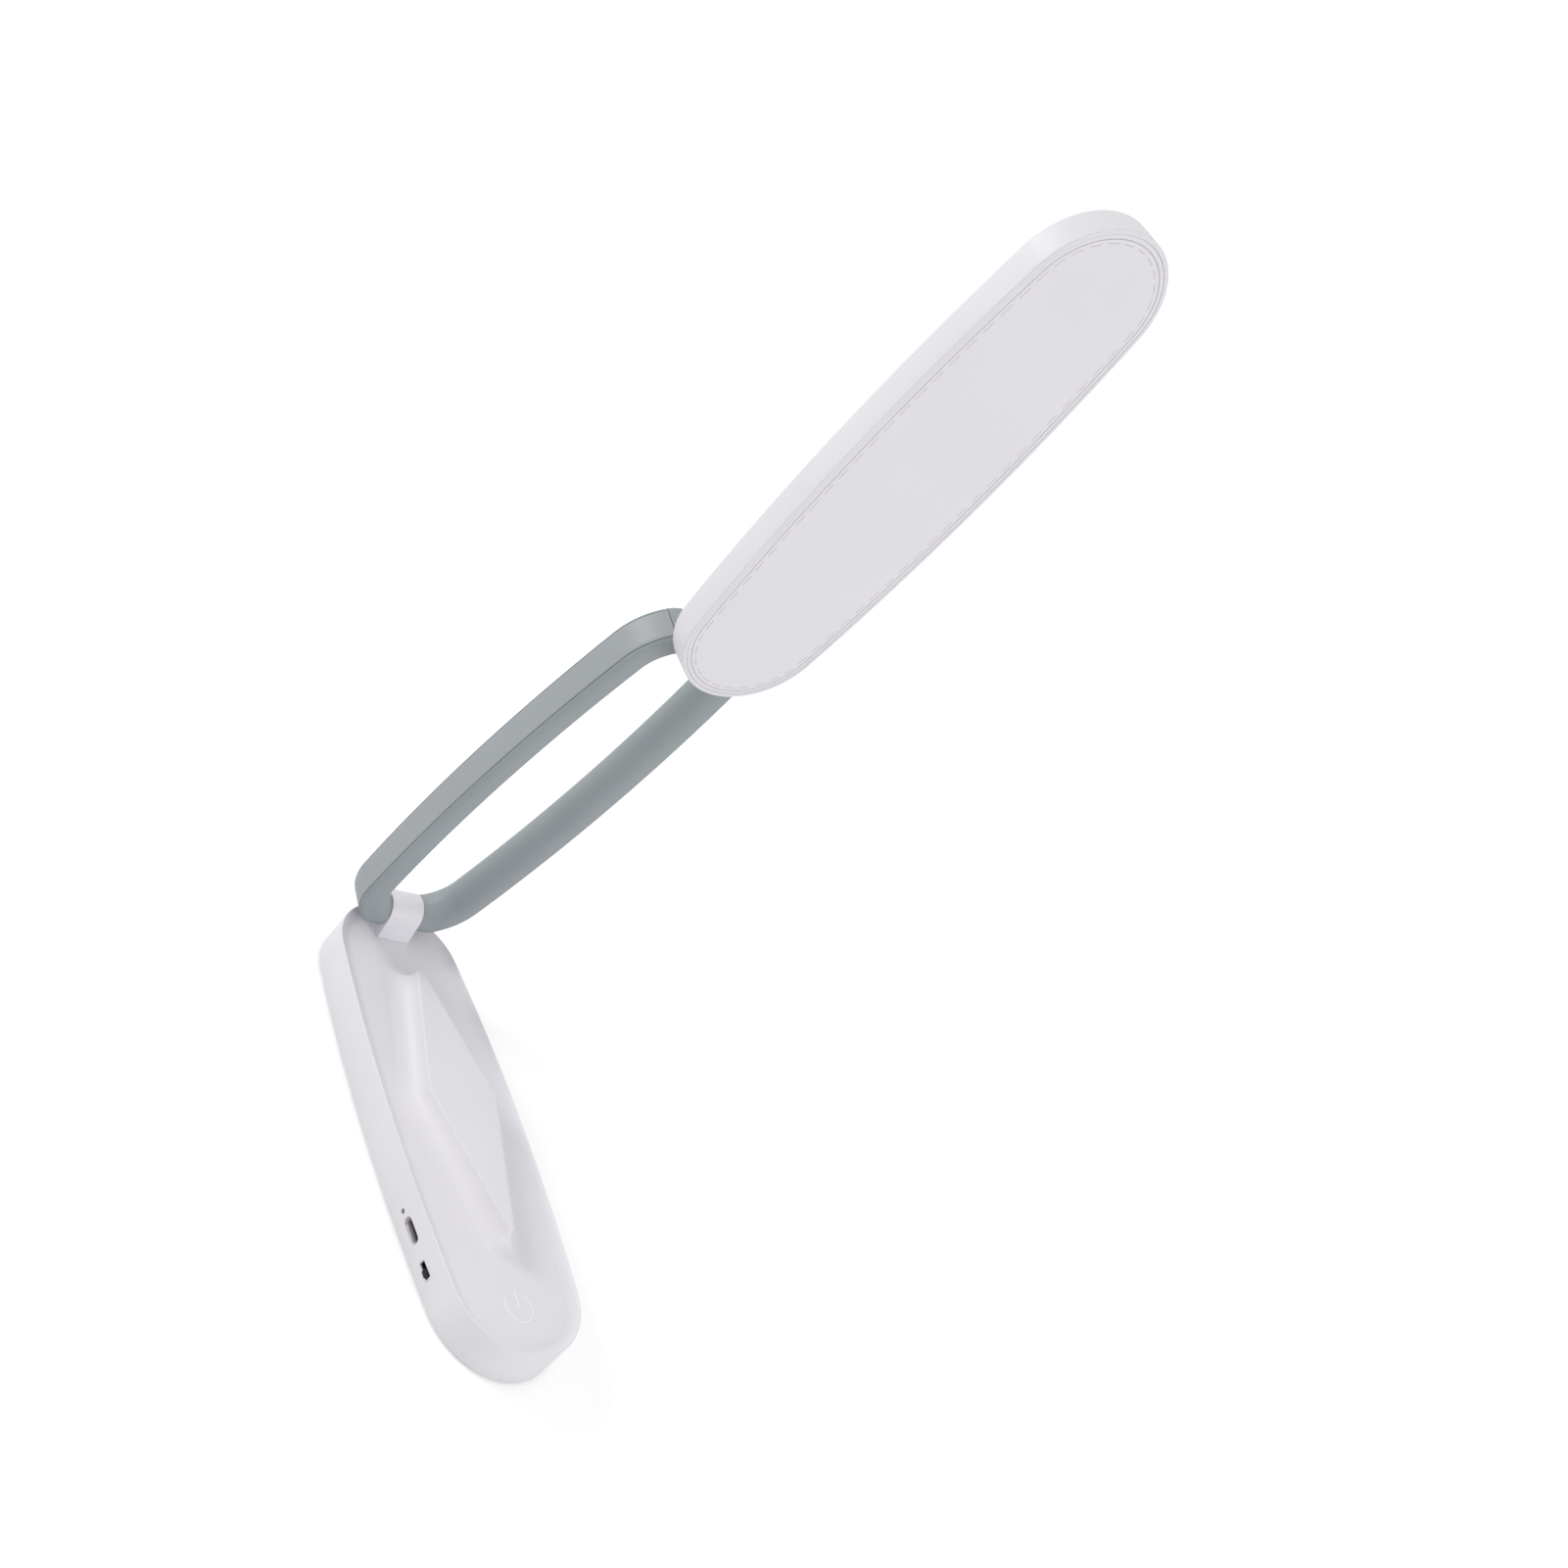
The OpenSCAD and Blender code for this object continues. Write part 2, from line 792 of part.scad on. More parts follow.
module head_plate() {
  color([0.78, 0.79, 0.80])
  on_head()
  difference() {
    head_slab(plate_z, plate_z + 1.2, head_wall + 0.1);
    for (p = head_points) {
      post([p[0], p[1] + head_mid, head_z], 0.85, 9);
      post([p[0], p[1] + head_mid, head_z + plate_z + 0.5], 1.7, 5);
    }
  }
}

module head_plate_screws() {
  color([0.55, 0.55, 0.57])
  on_head()
    for (p = head_points) {
      post([p[0], p[1] + head_mid, head_z + plate_z + 0.5], 1.6, 0.65);
      post([p[0], p[1] + head_mid, head_z + 2.1], 0.8, plate_z - 1.5);
    }
}

guide_z = plate_z + 1.2 + 0.3;
diff_z = head_t - 0.2 - diffuser_t;
led_in = head_wall + 1.6;

module reflector() {
  color([0.95, 0.95, 0.95])
    on_head() head_slab(guide_z - 0.3, guide_z, led_in);
}

module light_guide() {
  color([0.90, 0.93, 0.95])
    on_head() head_slab(guide_z, diff_z, led_in);
}

module diffuser() {
  color([0.90, 0.90, 0.92])
    on_head() head_slab(diff_z, head_t - 0.2, head_wall + 0.35);
}

// Flexible strip standing on edge inside the wall of the head
lamp_z = plate_z + 1.2;
lamp_h = diff_z - lamp_z;
module led_strip() {
  color([0.93, 0.92, 0.85])
  on_head()
    translate([0, head_mid, head_z + lamp_z])
      loop(body_l, body_w, end_r)
        translate([-head_wall - 0.4, 0]) square([0.3, lamp_h]);
}

// Sixty small lamps on the strip that face inwards: twenty along each side and
// ten round each end
module led_lamps() {
  s = side_r(body_l, body_w, end_r);
  t = side_a(body_l, body_w, end_r);
  deep = head_wall + 0.48;
  color([0.95, 0.90, 0.60])
  on_head()
    translate([0, head_mid, head_z + lamp_z + 0.1])
      for (m = [0, 1]) {
        mirror([m, 0, 0])
          translate([-side_c(body_l, body_w, end_r), 0, 0])
            for (i = [0:19])
              rotate([0, 0, -t + (i + 0.5)*2*t/20])
                translate([s - deep - 1, -1.75, 0]) cube([1, 3.5, lamp_h - 0.3]);
        mirror([0, m, 0])
          translate([0, body_l/2 - end_r, 0])
            for (i = [0:9])
              rotate([0, 0, t + (i + 0.5)*(180 - 2*t)/10])
                translate([end_r - deep - 1, -1.75, 0]) cube([1, 3.5, lamp_h - 0.3]);
      }
}

base_shell();
base_cover();
foot_pad();
ballast_plate();
battery();
control_board();
charging_port();
switch_body();
switch_knob();
indicator_pipe();
touch_plate();
touch_contact();
touch_mark();
cover_screws();
base_knuckle();
base_knuckle_plate();
base_knuckle_screws();
base_hinge_pin();
base_hinge_washers();
base_hinge_bush();
arm_limb_left();
arm_limb_right();
arm_strip_left();
arm_strip_right();
arm_flat_cable();
head_hinge_bush();
head_hinge_washers();
head_hinge_pin();
head_knuckle();
head_knuckle_plate();
head_knuckle_screws();
head_shell();
driver_board();
head_plate();
head_plate_screws();
reflector();
led_strip();
led_lamps();
light_guide();
diffuser();
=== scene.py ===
# %% [markdown]
# # A folding desk lamp, dressed for a portrait
#
# The lamp arrives as a packed model of forty named parts: the construction. This lesson gives it its
# looks. The large mouldings are modelled again with the soft edges that a moulded part has, everything
# gets a procedural material, and the whole is lit like a plain product picture on white.
#
# We work in millimetres and shrink each piece to metres when it is finished, because the sizes of a lamp
# are easier to read that way.

# %% Load the lamp
import math

import bmesh
import bpy
from mathutils import Matrix, Vector


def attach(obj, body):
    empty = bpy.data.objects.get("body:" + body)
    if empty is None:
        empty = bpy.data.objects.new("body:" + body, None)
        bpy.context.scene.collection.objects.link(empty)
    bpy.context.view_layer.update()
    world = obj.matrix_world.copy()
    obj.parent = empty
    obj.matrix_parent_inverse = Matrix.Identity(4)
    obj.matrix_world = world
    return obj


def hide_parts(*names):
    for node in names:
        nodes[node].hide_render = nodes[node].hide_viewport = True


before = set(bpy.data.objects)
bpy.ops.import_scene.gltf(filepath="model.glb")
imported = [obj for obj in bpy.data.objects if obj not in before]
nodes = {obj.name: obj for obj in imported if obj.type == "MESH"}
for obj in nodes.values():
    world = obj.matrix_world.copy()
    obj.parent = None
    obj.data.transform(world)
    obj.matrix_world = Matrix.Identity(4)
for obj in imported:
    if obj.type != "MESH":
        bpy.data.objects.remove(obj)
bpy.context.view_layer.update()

# %% [markdown]
# ## The three frames of the lamp
#
# The base lies on the table with its middle at the origin. The ring arm and the light head are each
# easiest to model lying flat, with the origin on their own hinge pin, +Y along their length and +Z out of
# their front. A matrix then stands each one up at its angle in the picture. The alternative, modelling
# them tilted, would make every number in them a sine or a cosine.

# %% Frames of the base, the arm and the head
BODY_LENGTH, BODY_WIDTH, END_RADIUS = 177.0, 54.0, 24.0
RING_LENGTH, RING_WIDTH, RING_RADIUS = 176.2, 53.2, 23.6
REACH = 162.4
ARM_ANGLE, HEAD_LEAN = 80.3, 5.8
BASE_PIN = Vector((0, 81.2, 20.3))
rise = math.radians(ARM_ANGLE)
HEAD_PIN = BASE_PIN + REACH * Vector((0, -math.cos(rise), math.sin(rise)))

in_base = Matrix.Identity(4)
in_arm = Matrix.Translation(BASE_PIN) @ Matrix.Rotation(math.pi - rise, 4, "X")
in_head = Matrix.Translation(HEAD_PIN) @ Matrix.Rotation(math.pi - rise - math.radians(HEAD_LEAN), 4, "X")
print("head pin at", [round(v, 2) for v in HEAD_PIN])

# %% [markdown]
# ## Finishing a piece
#
# Every piece ends the same way: its mesh is placed and shrunk to metres, its faces are shaded smooth
# except across real corners, it gets a material, and it is tied to the body that it moves with. The
# object itself stays at the origin, so that patterns in Object coordinates keep still.

# %% Finish a piece
SHARP_CORNER = math.radians(30)
SAME_POINT = 0.0005


def finish_piece(bm, name, body, material, stands_for=(), place=in_base):
    bmesh.ops.remove_doubles(bm, verts=bm.verts, dist=SAME_POINT)
    bmesh.ops.recalc_face_normals(bm, faces=bm.faces)
    bmesh.ops.transform(bm, matrix=Matrix.Scale(0.001, 4) @ place, verts=bm.verts)
    mesh = bpy.data.meshes.new(name)
    bm.to_mesh(mesh)
    bm.free()
    mesh.polygons.foreach_set("use_smooth", [True] * len(mesh.polygons))
    mesh.set_sharp_from_angle(angle=SHARP_CORNER)
    mesh.materials.append(material)
    piece = bpy.data.objects.new(name, mesh)
    bpy.context.scene.collection.objects.link(piece)
    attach(piece, body)
    if stands_for:
        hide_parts(*stands_for)
    print(f"{name}: {len(mesh.polygons)} faces, {count_open_edges(mesh)} open edges")


def count_open_edges(mesh):
    uses = {}
    for polygon in mesh.polygons:
        for key in polygon.edge_keys:
            uses[key] = uses.get(key, 0) + 1
    return sum(1 for n in uses.values() if n != 2)


print(f"corners sharper than {math.degrees(SHARP_CORNER):.0f} degrees stay crisp")

# %% [markdown]
# ## A pen for sections
#
# The base, the ring and the head share one idea: a small section carried round a long outline. A section
# is drawn with a pen in the XZ plane, where x = 0 is the outline and minus is inwards. The pen draws
# lines by extruding its last point and arcs by spinning it, so a fillet in the section is a true arc.

# %% The pen
class Pen:
    def __init__(self, bm, x, z):
        self.bm = bm
        self.first = self.tip = bm.verts.new((x, 0, z))
        self.drawn = [self.first]

    def line(self, x, z):
        new = bmesh.ops.extrude_vert_indiv(self.bm, verts=[self.tip])
        self.tip = new["verts"][0]
        self.tip.co = (x, 0, z)
        self.drawn += new["verts"] + new["edges"]

    def arc(self, x, z, degrees, steps):
        before = set(self.bm.verts[:]) | set(self.bm.edges[:])
        new = bmesh.ops.spin(self.bm, geom=[self.tip], cent=(x, 0, z), axis=(0, 1, 0),
                             angle=math.radians(degrees), steps=steps)
        self.tip = [g for g in new["geom_last"] if isinstance(g, bmesh.types.BMVert)][0]
        self.drawn += [g for g in self.bm.verts[:] + self.bm.edges[:] if g not in before]

    def close(self):
        self.drawn.append(self.bm.edges.new((self.tip, self.first)))


print("a pen draws", [word for word in vars(Pen) if not word.startswith("_")])

# %% [markdown]
# ## The outline and how a section follows it
#
# Seen from above, all three bodies have the same outline: two gently bulged long sides and two round
# ends, four arcs that run into each other without a kink. Spinning the section about the centre of each
# arc in turn follows the outline exactly. A curve with a bevel object would do as well, but it would
# stretch the section where the curve's points are uneven. The last arc of a full round ends where the
# first began, and the points that then lie on each other are merged.

# %% Follow the outline
SIDE_STEPS, END_STEPS, STOPPED_END_STEPS = 44, 60, 24
SEAM = 0.02
FINE_SEAM = 0.001


def close_holes(bm):
    bmesh.ops.holes_fill(bm, edges=[e for e in bm.edges if e.is_boundary])


def outline_arcs(length, width, end_radius):
    run = length / 2 - end_radius
    side = (run ** 2 + (width / 2) ** 2 - end_radius ** 2) / (width - 2 * end_radius)
    half = math.asin(run / (side - end_radius))
    centre = (side - end_radius) * math.cos(half)
    return run, side, half, centre


def spin_on(bm, geometry, x, y, angle, steps):
    made = bmesh.ops.spin(bm, geom=geometry, cent=(x, y, 0), axis=(0, 0, 1), angle=angle, steps=steps)
    return made["geom_last"]


def carry_round(bm, section, length, width, end_radius):
    run, side, half, centre = outline_arcs(length, width, end_radius)
    points = [g for g in section if isinstance(g, bmesh.types.BMVert)]
    bmesh.ops.translate(bm, verts=points, vec=(width / 2, 0, 0))
    last = spin_on(bm, section, -centre, 0, half, SIDE_STEPS // 2)
    last = spin_on(bm, last, 0, run, math.pi - 2 * half, END_STEPS)
    last = spin_on(bm, last, centre, 0, 2 * half, SIDE_STEPS)
    last = spin_on(bm, last, 0, -run, math.pi - 2 * half, END_STEPS)
    spin_on(bm, last, -centre, 0, half, SIDE_STEPS // 2)
    bmesh.ops.remove_doubles(bm, verts=bm.verts, dist=SEAM)


def carry_along_side(bm, section, length, width, end_radius, stop):
    run, side, half, centre = outline_arcs(length, width, end_radius)
    points = [g for g in section if isinstance(g, bmesh.types.BMVert)]
    bmesh.ops.translate(bm, verts=points, vec=(width / 2, 0, 0))
    bmesh.ops.rotate(bm, verts=points, cent=(-centre, 0, 0), matrix=Matrix.Rotation(-half, 3, "Z"))
    bmesh.ops.rotate(bm, verts=points, cent=(0, -run, 0), matrix=Matrix.Rotation(half - stop, 3, "Z"))
    last = spin_on(bm, section, 0, -run, stop - half, STOPPED_END_STEPS)
    last = spin_on(bm, last, -centre, 0, 2 * half, SIDE_STEPS)
    spin_on(bm, last, 0, run, stop - half, STOPPED_END_STEPS)
    bmesh.ops.remove_doubles(bm, verts=bm.verts, dist=FINE_SEAM)


run, side, half, centre = outline_arcs(BODY_LENGTH, BODY_WIDTH, END_RADIUS)
print(f"long sides: radius {side:.1f} mm over {2 * math.degrees(half):.1f} degrees")

# %% [markdown]
# ## Cutting with a second solid
#
# Openings such as the charging socket's are cut with a Boolean modifier and a cutter solid. The result is
# applied at once and read back into the bmesh, so that the corners can still be shaded afterwards.

# %% Cut one solid with another
def as_object(bm, name):
    mesh = bpy.data.meshes.new(name)
    bmesh.ops.recalc_face_normals(bm, faces=bm.faces)
    bm.to_mesh(mesh)
    bm.free()
    thing = bpy.data.objects.new(name, mesh)
    bpy.context.scene.collection.objects.link(thing)
    return thing


def cut(bm, cutter, how="DIFFERENCE"):
    solid, tool = as_object(bm, "solid_in_work"), as_object(cutter, "cutting_tool")
    modifier = solid.modifiers.new("cut", "BOOLEAN")
    modifier.operation, modifier.solver, modifier.object = how, "EXACT", tool
    shaped = solid.evaluated_get(bpy.context.evaluated_depsgraph_get())
    result = bmesh.new()
    result.from_mesh(shaped.to_mesh())
    for thing in (solid, tool):
        mesh = thing.data
        bpy.data.objects.remove(thing)
        bpy.data.meshes.remove(mesh)
    return result


def block(low, high, edge=0.0):
    bm = bmesh.new()
    bmesh.ops.create_cube(bm, size=1)
    size, middle = Vector(high) - Vector(low), (Vector(high) + Vector(low)) / 2
    bmesh.ops.transform(bm, matrix=Matrix.Translation(middle) @ Matrix.Diagonal((*size, 1)), verts=bm.verts)
    if edge:
        round_edges(bm, bm.edges[:], edge)
    return bm


def rod(radius, start, end, across="Z", segments=48):
    bm = bmesh.new()
    bmesh.ops.create_cone(bm, cap_ends=True, segments=segments, radius1=radius, radius2=radius,
                          depth=end - start)
    bmesh.ops.translate(bm, verts=bm.verts, vec=(0, 0, (start + end) / 2))
    turn = {"Z": Matrix.Identity(4), "X": Matrix.Rotation(math.pi / 2, 4, "Y")}[across]
    bmesh.ops.transform(bm, matrix=turn, verts=bm.verts)
    return bm


def round_edges(bm, edges, size, segments=2):
    bmesh.ops.bevel(bm, geom=edges, offset=size, offset_type="OFFSET", segments=segments, profile=0.5,
                    affect="EDGES", material=-1, clamp_overlap=True)


def corner_edges(bm, least_angle):
    return [e for e in bm.edges if e.calc_face_angle(0) > least_angle]


def moved(bm, x=0.0, y=0.0, z=0.0):
    bmesh.ops.translate(bm, verts=bm.verts, vec=(x, y, z))
    return bm


def joined(*parts):
    whole = bmesh.new()
    for part in parts:
        mesh = bpy.data.meshes.new("part_in_work")
        part.to_mesh(mesh)
        part.free()
        whole.from_mesh(mesh)
        bpy.data.meshes.remove(mesh)
    return whole


trial = cut(block((0, 0, 0), (2, 2, 2)), block((1, 1, 1), (3, 3, 3)))
print("a cube with one corner cut away has", len(trial.faces), "faces")
trial.free()

# %% [markdown]
# ## Moulded plastic
#
# The white and grey parts are moulded in a fine satin texture. Under a lens such a surface isn't even:
# it has a spark-eroded grain of about a fifth of a millimetre, very faint clouds where the melt cooled
# unevenly, and a slightly changing gloss. Three noises in Object coordinates give these three things. A
# picture texture would need an unwrapped mesh and would show its seams on the long curved walls.

# %% Colours and the plastic recipe
def from_screen(red, green, blue):
    def linear(v):
        v /= 255
        return v / 12.92 if v <= 0.04045 else ((v + 0.055) / 1.055) ** 2.4
    return (linear(red), linear(green), linear(blue), 1.0)


def noise(tree, scale, detail, x, y, source):
    node = tree.nodes.new("ShaderNodeTexNoise")
    node.location = (x, y)
    node.inputs["Scale"].default_value = scale
    node.inputs["Detail"].default_value = detail
    tree.links.new(source, node.inputs["Vector"])
    return node


def new_material(name):
    material = bpy.data.materials.new(name)
    material.use_nodes = True
    tree = material.node_tree
    shader = tree.nodes["Principled BSDF"]
    where = tree.nodes.new("ShaderNodeTexCoord")
    where.location = (-1200, 0)
    return material, tree, shader, where.outputs["Object"]


def vary(tree, amount, low, high, x, y):
    node = tree.nodes.new("ShaderNodeMapRange")
    node.location = (x, y)
    node.inputs["From Min"].default_value = 0.3
    node.inputs["From Max"].default_value = 0.7
    node.inputs["To Min"].default_value = low
    node.inputs["To Max"].default_value = high
    tree.links.new(amount, node.inputs["Value"])
    return node.outputs["Result"]


def blend_colours(tree, amount, one, two, x, y):
    node = tree.nodes.new("ShaderNodeMix")
    node.data_type = "RGBA"
    node.location = (x, y)
    node.inputs[6].default_value = one
    node.inputs[7].default_value = two
    tree.links.new(amount, node.inputs[0])
    return node.outputs[2]


CLOUD_SCALE = 28
BUMP_HEIGHT = 0.00002


def moulded_plastic(name, colour, gloss=(0.42, 0.5), clouds=0.03, grain=0.12, grain_size=0.2):
    material, tree, shader, where = new_material(name)
    cloud = noise(tree, CLOUD_SCALE, 3, -900, 200, where)
    fine = noise(tree, 1000 / grain_size / 4, 2, -900, -250, where)
    shift = vary(tree, cloud.outputs["Fac"], 0.0, 1.0, -650, 200)
    darker = tuple(v * (1 - clouds) for v in colour[:3]) + (1.0,)
    tree.links.new(blend_colours(tree, shift, colour, darker, -400, 200), shader.inputs["Base Color"])
    tree.links.new(vary(tree, fine.outputs["Fac"], *gloss, -650, -100), shader.inputs["Roughness"])
    bump = tree.nodes.new("ShaderNodeBump")
    bump.location = (-300, -300)
    bump.inputs["Strength"].default_value = grain
    bump.inputs["Distance"].default_value = BUMP_HEIGHT
    tree.links.new(fine.outputs["Fac"], bump.inputs["Height"])
    tree.links.new(bump.outputs["Normal"], shader.inputs["Normal"])
    shader.inputs["Specular IOR Level"].default_value = 0.4
    return material


white_casing = moulded_plastic("white_casing_plastic", from_screen(226, 224, 229))
head_white = moulded_plastic("white_head_plastic", from_screen(221, 219, 223))
grey_ring = moulded_plastic("grey_ring_plastic", from_screen(149, 156, 159), gloss=(0.45, 0.55), clouds=0.04)
grey_band = moulded_plastic("grey_band_plastic", from_screen(155, 160, 164), gloss=(0.4, 0.5), clouds=0.04)
black_moulding = moulded_plastic("black_moulded_plastic", from_screen(40, 40, 43), clouds=0.1)
print("plastics ready")

# %% [markdown]
# ## The base casing
#
# The base is a shallow tray upside down, with a second tray pressed into its top. One section holds all
# of it: the wall, the thin rim, the cove that falls to the recess and the underside. Carried round the
# outline, it leaves two flat holes in the middle, which are filled afterwards.

# %% Section of the base casing
RIM, FLOOR, CEILING, BOTTOM = 15.0, 13.1, 11.3, 0.6
WALL, RIM_EDGE, FOOT_EDGE = 2.0, 0.34, 0.4
COVE, COVE_START, INNER_END = 5.0, 4.33, 5.5
cove_turn = math.acos((COVE - RIM + FLOOR) / COVE)
casing = bmesh.new()
pen = Pen(casing, -INNER_END, FLOOR)
pen.line(-COVE_START, FLOOR)
pen.arc(-COVE_START, FLOOR + COVE, -math.degrees(cove_turn), 12)
pen.line(-RIM_EDGE, RIM)
pen.arc(-RIM_EDGE, RIM - RIM_EDGE, 90, 5)
pen.line(0, BOTTOM + FOOT_EDGE)
pen.arc(-FOOT_EDGE, BOTTOM + FOOT_EDGE, 90, 4)
pen.line(-WALL, BOTTOM)
pen.line(-WALL, CEILING)
pen.line(-INNER_END, CEILING)
carry_round(casing, pen.drawn, BODY_LENGTH, BODY_WIDTH, END_RADIUS)
print("casing wall:", len(casing.faces), "faces")

# %% [markdown]
# The island in the middle is a long six-sided plateau whose flanks fall away in a hollow curve, so that
# the ring can nest round it. It starts as its flat top, and its edge is then extruded again and again,
# each time a little further out and down, with mitred corners like a picture frame.

# %% The island
TIP, HALF_WIDTH, WIDE, REAR_TIP, FRONT_TIP = 1.2, 13.4, 2.0, 52.8, 48.5
ISLAND_TOP, FLANK, FLANK_CENTRE, FLANK_STEPS, RIDGE = 21.2, 8.2, 21.25, 14, 0.45
right_half = [(TIP, -FRONT_TIP), (HALF_WIDTH, WIDE), (TIP, REAR_TIP)]
left_half = [(-x, y) for x, y in reversed(right_half)]
plateau = [Vector(p) for p in left_half[-1:] + right_half + left_half[:-1]]


def mitre(index):
    before, here, after = plateau[index - 1], plateau[index], plateau[(index + 1) % 6]
    one, two = (here - before).normalized(), (after - here).normalized()
    normals = Vector((one.y, -one.x)), Vector((two.y, -two.x))
    middle = (normals[0] + normals[1]).normalized()
    return middle / middle.dot(normals[0])


def make_island():
    bm = bmesh.new()
    start_angle = math.acos((FLANK_CENTRE - ISLAND_TOP) / FLANK)
    corners = [bm.verts.new((p.x, p.y, ISLAND_TOP)) for p in plateau]
    bm.faces.new(corners)
    run_out = FLANK * math.sin(start_angle)
    rings = [corners]
    for step in range(1, FLANK_STEPS + 2):
        angle = start_angle * max(FLANK_STEPS - step, 0) / FLANK_STEPS
        out, height = run_out - FLANK * math.sin(angle), FLANK_CENTRE - FLANK * math.cos(angle)
        if step > FLANK_STEPS:
            height = (FLOOR + CEILING) / 2
        ring = rings[-1]
        edges = [bm.edges.get((ring[i], ring[(i + 1) % 6])) for i in range(6)]
        made = bmesh.ops.extrude_edge_only(bm, edges=edges)["geom"]
        fresh = [v for v in made if isinstance(v, bmesh.types.BMVert)]
        next_ring = [min(fresh, key=lambda v: (v.co - old.co).length) for old in ring]
        for i in range(6):
            spot = plateau[i] + mitre(i) * out
            next_ring[i].co = (spot.x, spot.y, height)
        rings.append(next_ring)
    close_holes(bm)
    bmesh.ops.recalc_face_normals(bm, faces=bm.faces)
    top = [bm.edges.get((rings[0][i], rings[0][(i + 1) % 6])) for i in range(6)]
    round_edges(bm, top, RIDGE, 4)
    return bm


close_holes(casing)
casing = cut(casing, make_island(), "UNION")
print("casing with island:", len(casing.faces), "faces")

# %% [markdown]
# The openings in the left wall and the engraved sign of the touch key are cut into the finished tray. The
# sign is the usual one for on and off: an open ring with a bar.

# %% Openings and the engraved sign
def wall_x(y):
    return math.sqrt(side ** 2 - y ** 2) - centre


PORT_Y, LIGHT_Y, SWITCH_Y, TOUCH_Y = -41.3, -34.1, -54.5, -71.0
PORT_Z, SWITCH_Z, LIGHT_Z = 6.73, 6.2, 6.2
PORT_WIDTH, PORT_HEIGHT = 9.24, 3.56
SLOT_HALF_LENGTH, SLOT_HALF_HEIGHT, LIGHT_RADIUS = 2.8, 1.2, 0.85
SIGN_RADIUS, SIGN_LINE, SIGN_DEPTH = 5.4, 0.75, 0.3


def pill(width, height, depth):
    bm = rod(height / 2, -depth / 2, depth / 2, segments=64)
    for vert in bm.verts:
        if abs(vert.co.x) > 1e-4:
            vert.co.x += math.copysign((width - height) / 2, vert.co.x)
    return bm


def on_left_wall(bm, y, z, x):
    bmesh.ops.transform(bm, matrix=Matrix.Translation((x, y, z)) @ Matrix.Rotation(math.pi / 2, 4, "Z")
                        @ Matrix.Rotation(math.pi / 2, 4, "X"), verts=bm.verts)
    return bm


def power_sign(radius, line, depth):
    ring = rod(radius, -depth, 1, segments=96)
    ring = cut(ring, rod(radius - line, -depth - 1, 2, segments=96))
    gap = 0.5 * radius
    ring = cut(ring, block((-gap, 0, -depth - 1), (gap, radius + 1, 2)))
    bar = block((-line / 2, 0, -depth), (line / 2, radius, 1))
    return joined(ring, bar)


def slot_block(start, end, gap=0.0):
    length, height = SLOT_HALF_LENGTH - gap, SLOT_HALF_HEIGHT - gap
    return block((start, SWITCH_Y - length, SWITCH_Z - height), (end, SWITCH_Y + length, SWITCH_Z + height))


port_x, switch_x, light_x = -wall_x(PORT_Y), -wall_x(SWITCH_Y), -wall_x(LIGHT_Y)
casing = cut(casing, on_left_wall(pill(PORT_WIDTH, PORT_HEIGHT, 8), PORT_Y, PORT_Z, port_x))
casing = cut(casing, slot_block(switch_x - 3, switch_x + 3))
casing = cut(casing, moved(rod(LIGHT_RADIUS, -4, 4, "X", 32), light_x, LIGHT_Y, LIGHT_Z))
casing = cut(casing, moved(power_sign(SIGN_RADIUS, SIGN_LINE, SIGN_DEPTH), 0, TOUCH_Y, FLOOR))
finish_piece(casing, "base_casing", "base", white_casing, ["base_shell"])

# %% [markdown]
# The lines of the sign are filled with a plastic that stands a hair above the floor. Its colour is a little
# lighter than the casing, a painted highlight on the lines, and otherwise only its soft edges show it, so
# the sign stays hard to see.

# %% The filled lines of the sign
# painted highlight: the inlay is lighter than the casing so that its lines read as lit
sign_inlay_and_highlight = moulded_plastic("touch_sign_inlay_and_painted_highlight", from_screen(236, 235, 239), gloss=(0.35, 0.42))
SIGN_GAP, SIGN_STANDS_OUT = 0.02, 0.1
sign = power_sign(SIGN_RADIUS - SIGN_GAP, SIGN_LINE - 2 * SIGN_GAP, SIGN_DEPTH - SIGN_GAP)
everything = sign.verts[:] + sign.edges[:] + sign.faces[:]
bmesh.ops.bisect_plane(sign, geom=everything, plane_co=(0, 0, SIGN_STANDS_OUT), plane_no=(0, 0, 1),
                       clear_outer=True)
close_holes(sign)
bmesh.ops.recalc_face_normals(sign, faces=sign.faces)
high_edges = [e for e in corner_edges(sign, 1) if all(v.co.z > SIGN_STANDS_OUT / 2 for v in e.verts)]
round_edges(sign, high_edges, 0.09)
finish_piece(moved(sign, 0, TOUCH_Y, FLOOR), "touch_sign", "base", sign_inlay_and_highlight, ["touch_mark"])

# %% [markdown]
# ## Worked metal
#
# Drawn, turned and rolled metal shows fine lines along one direction. A noise that is squeezed along one
# axis gives them, and it drives the tint, the gloss and a faint relief together, as on real metal, where
# all three come from the same scratches.

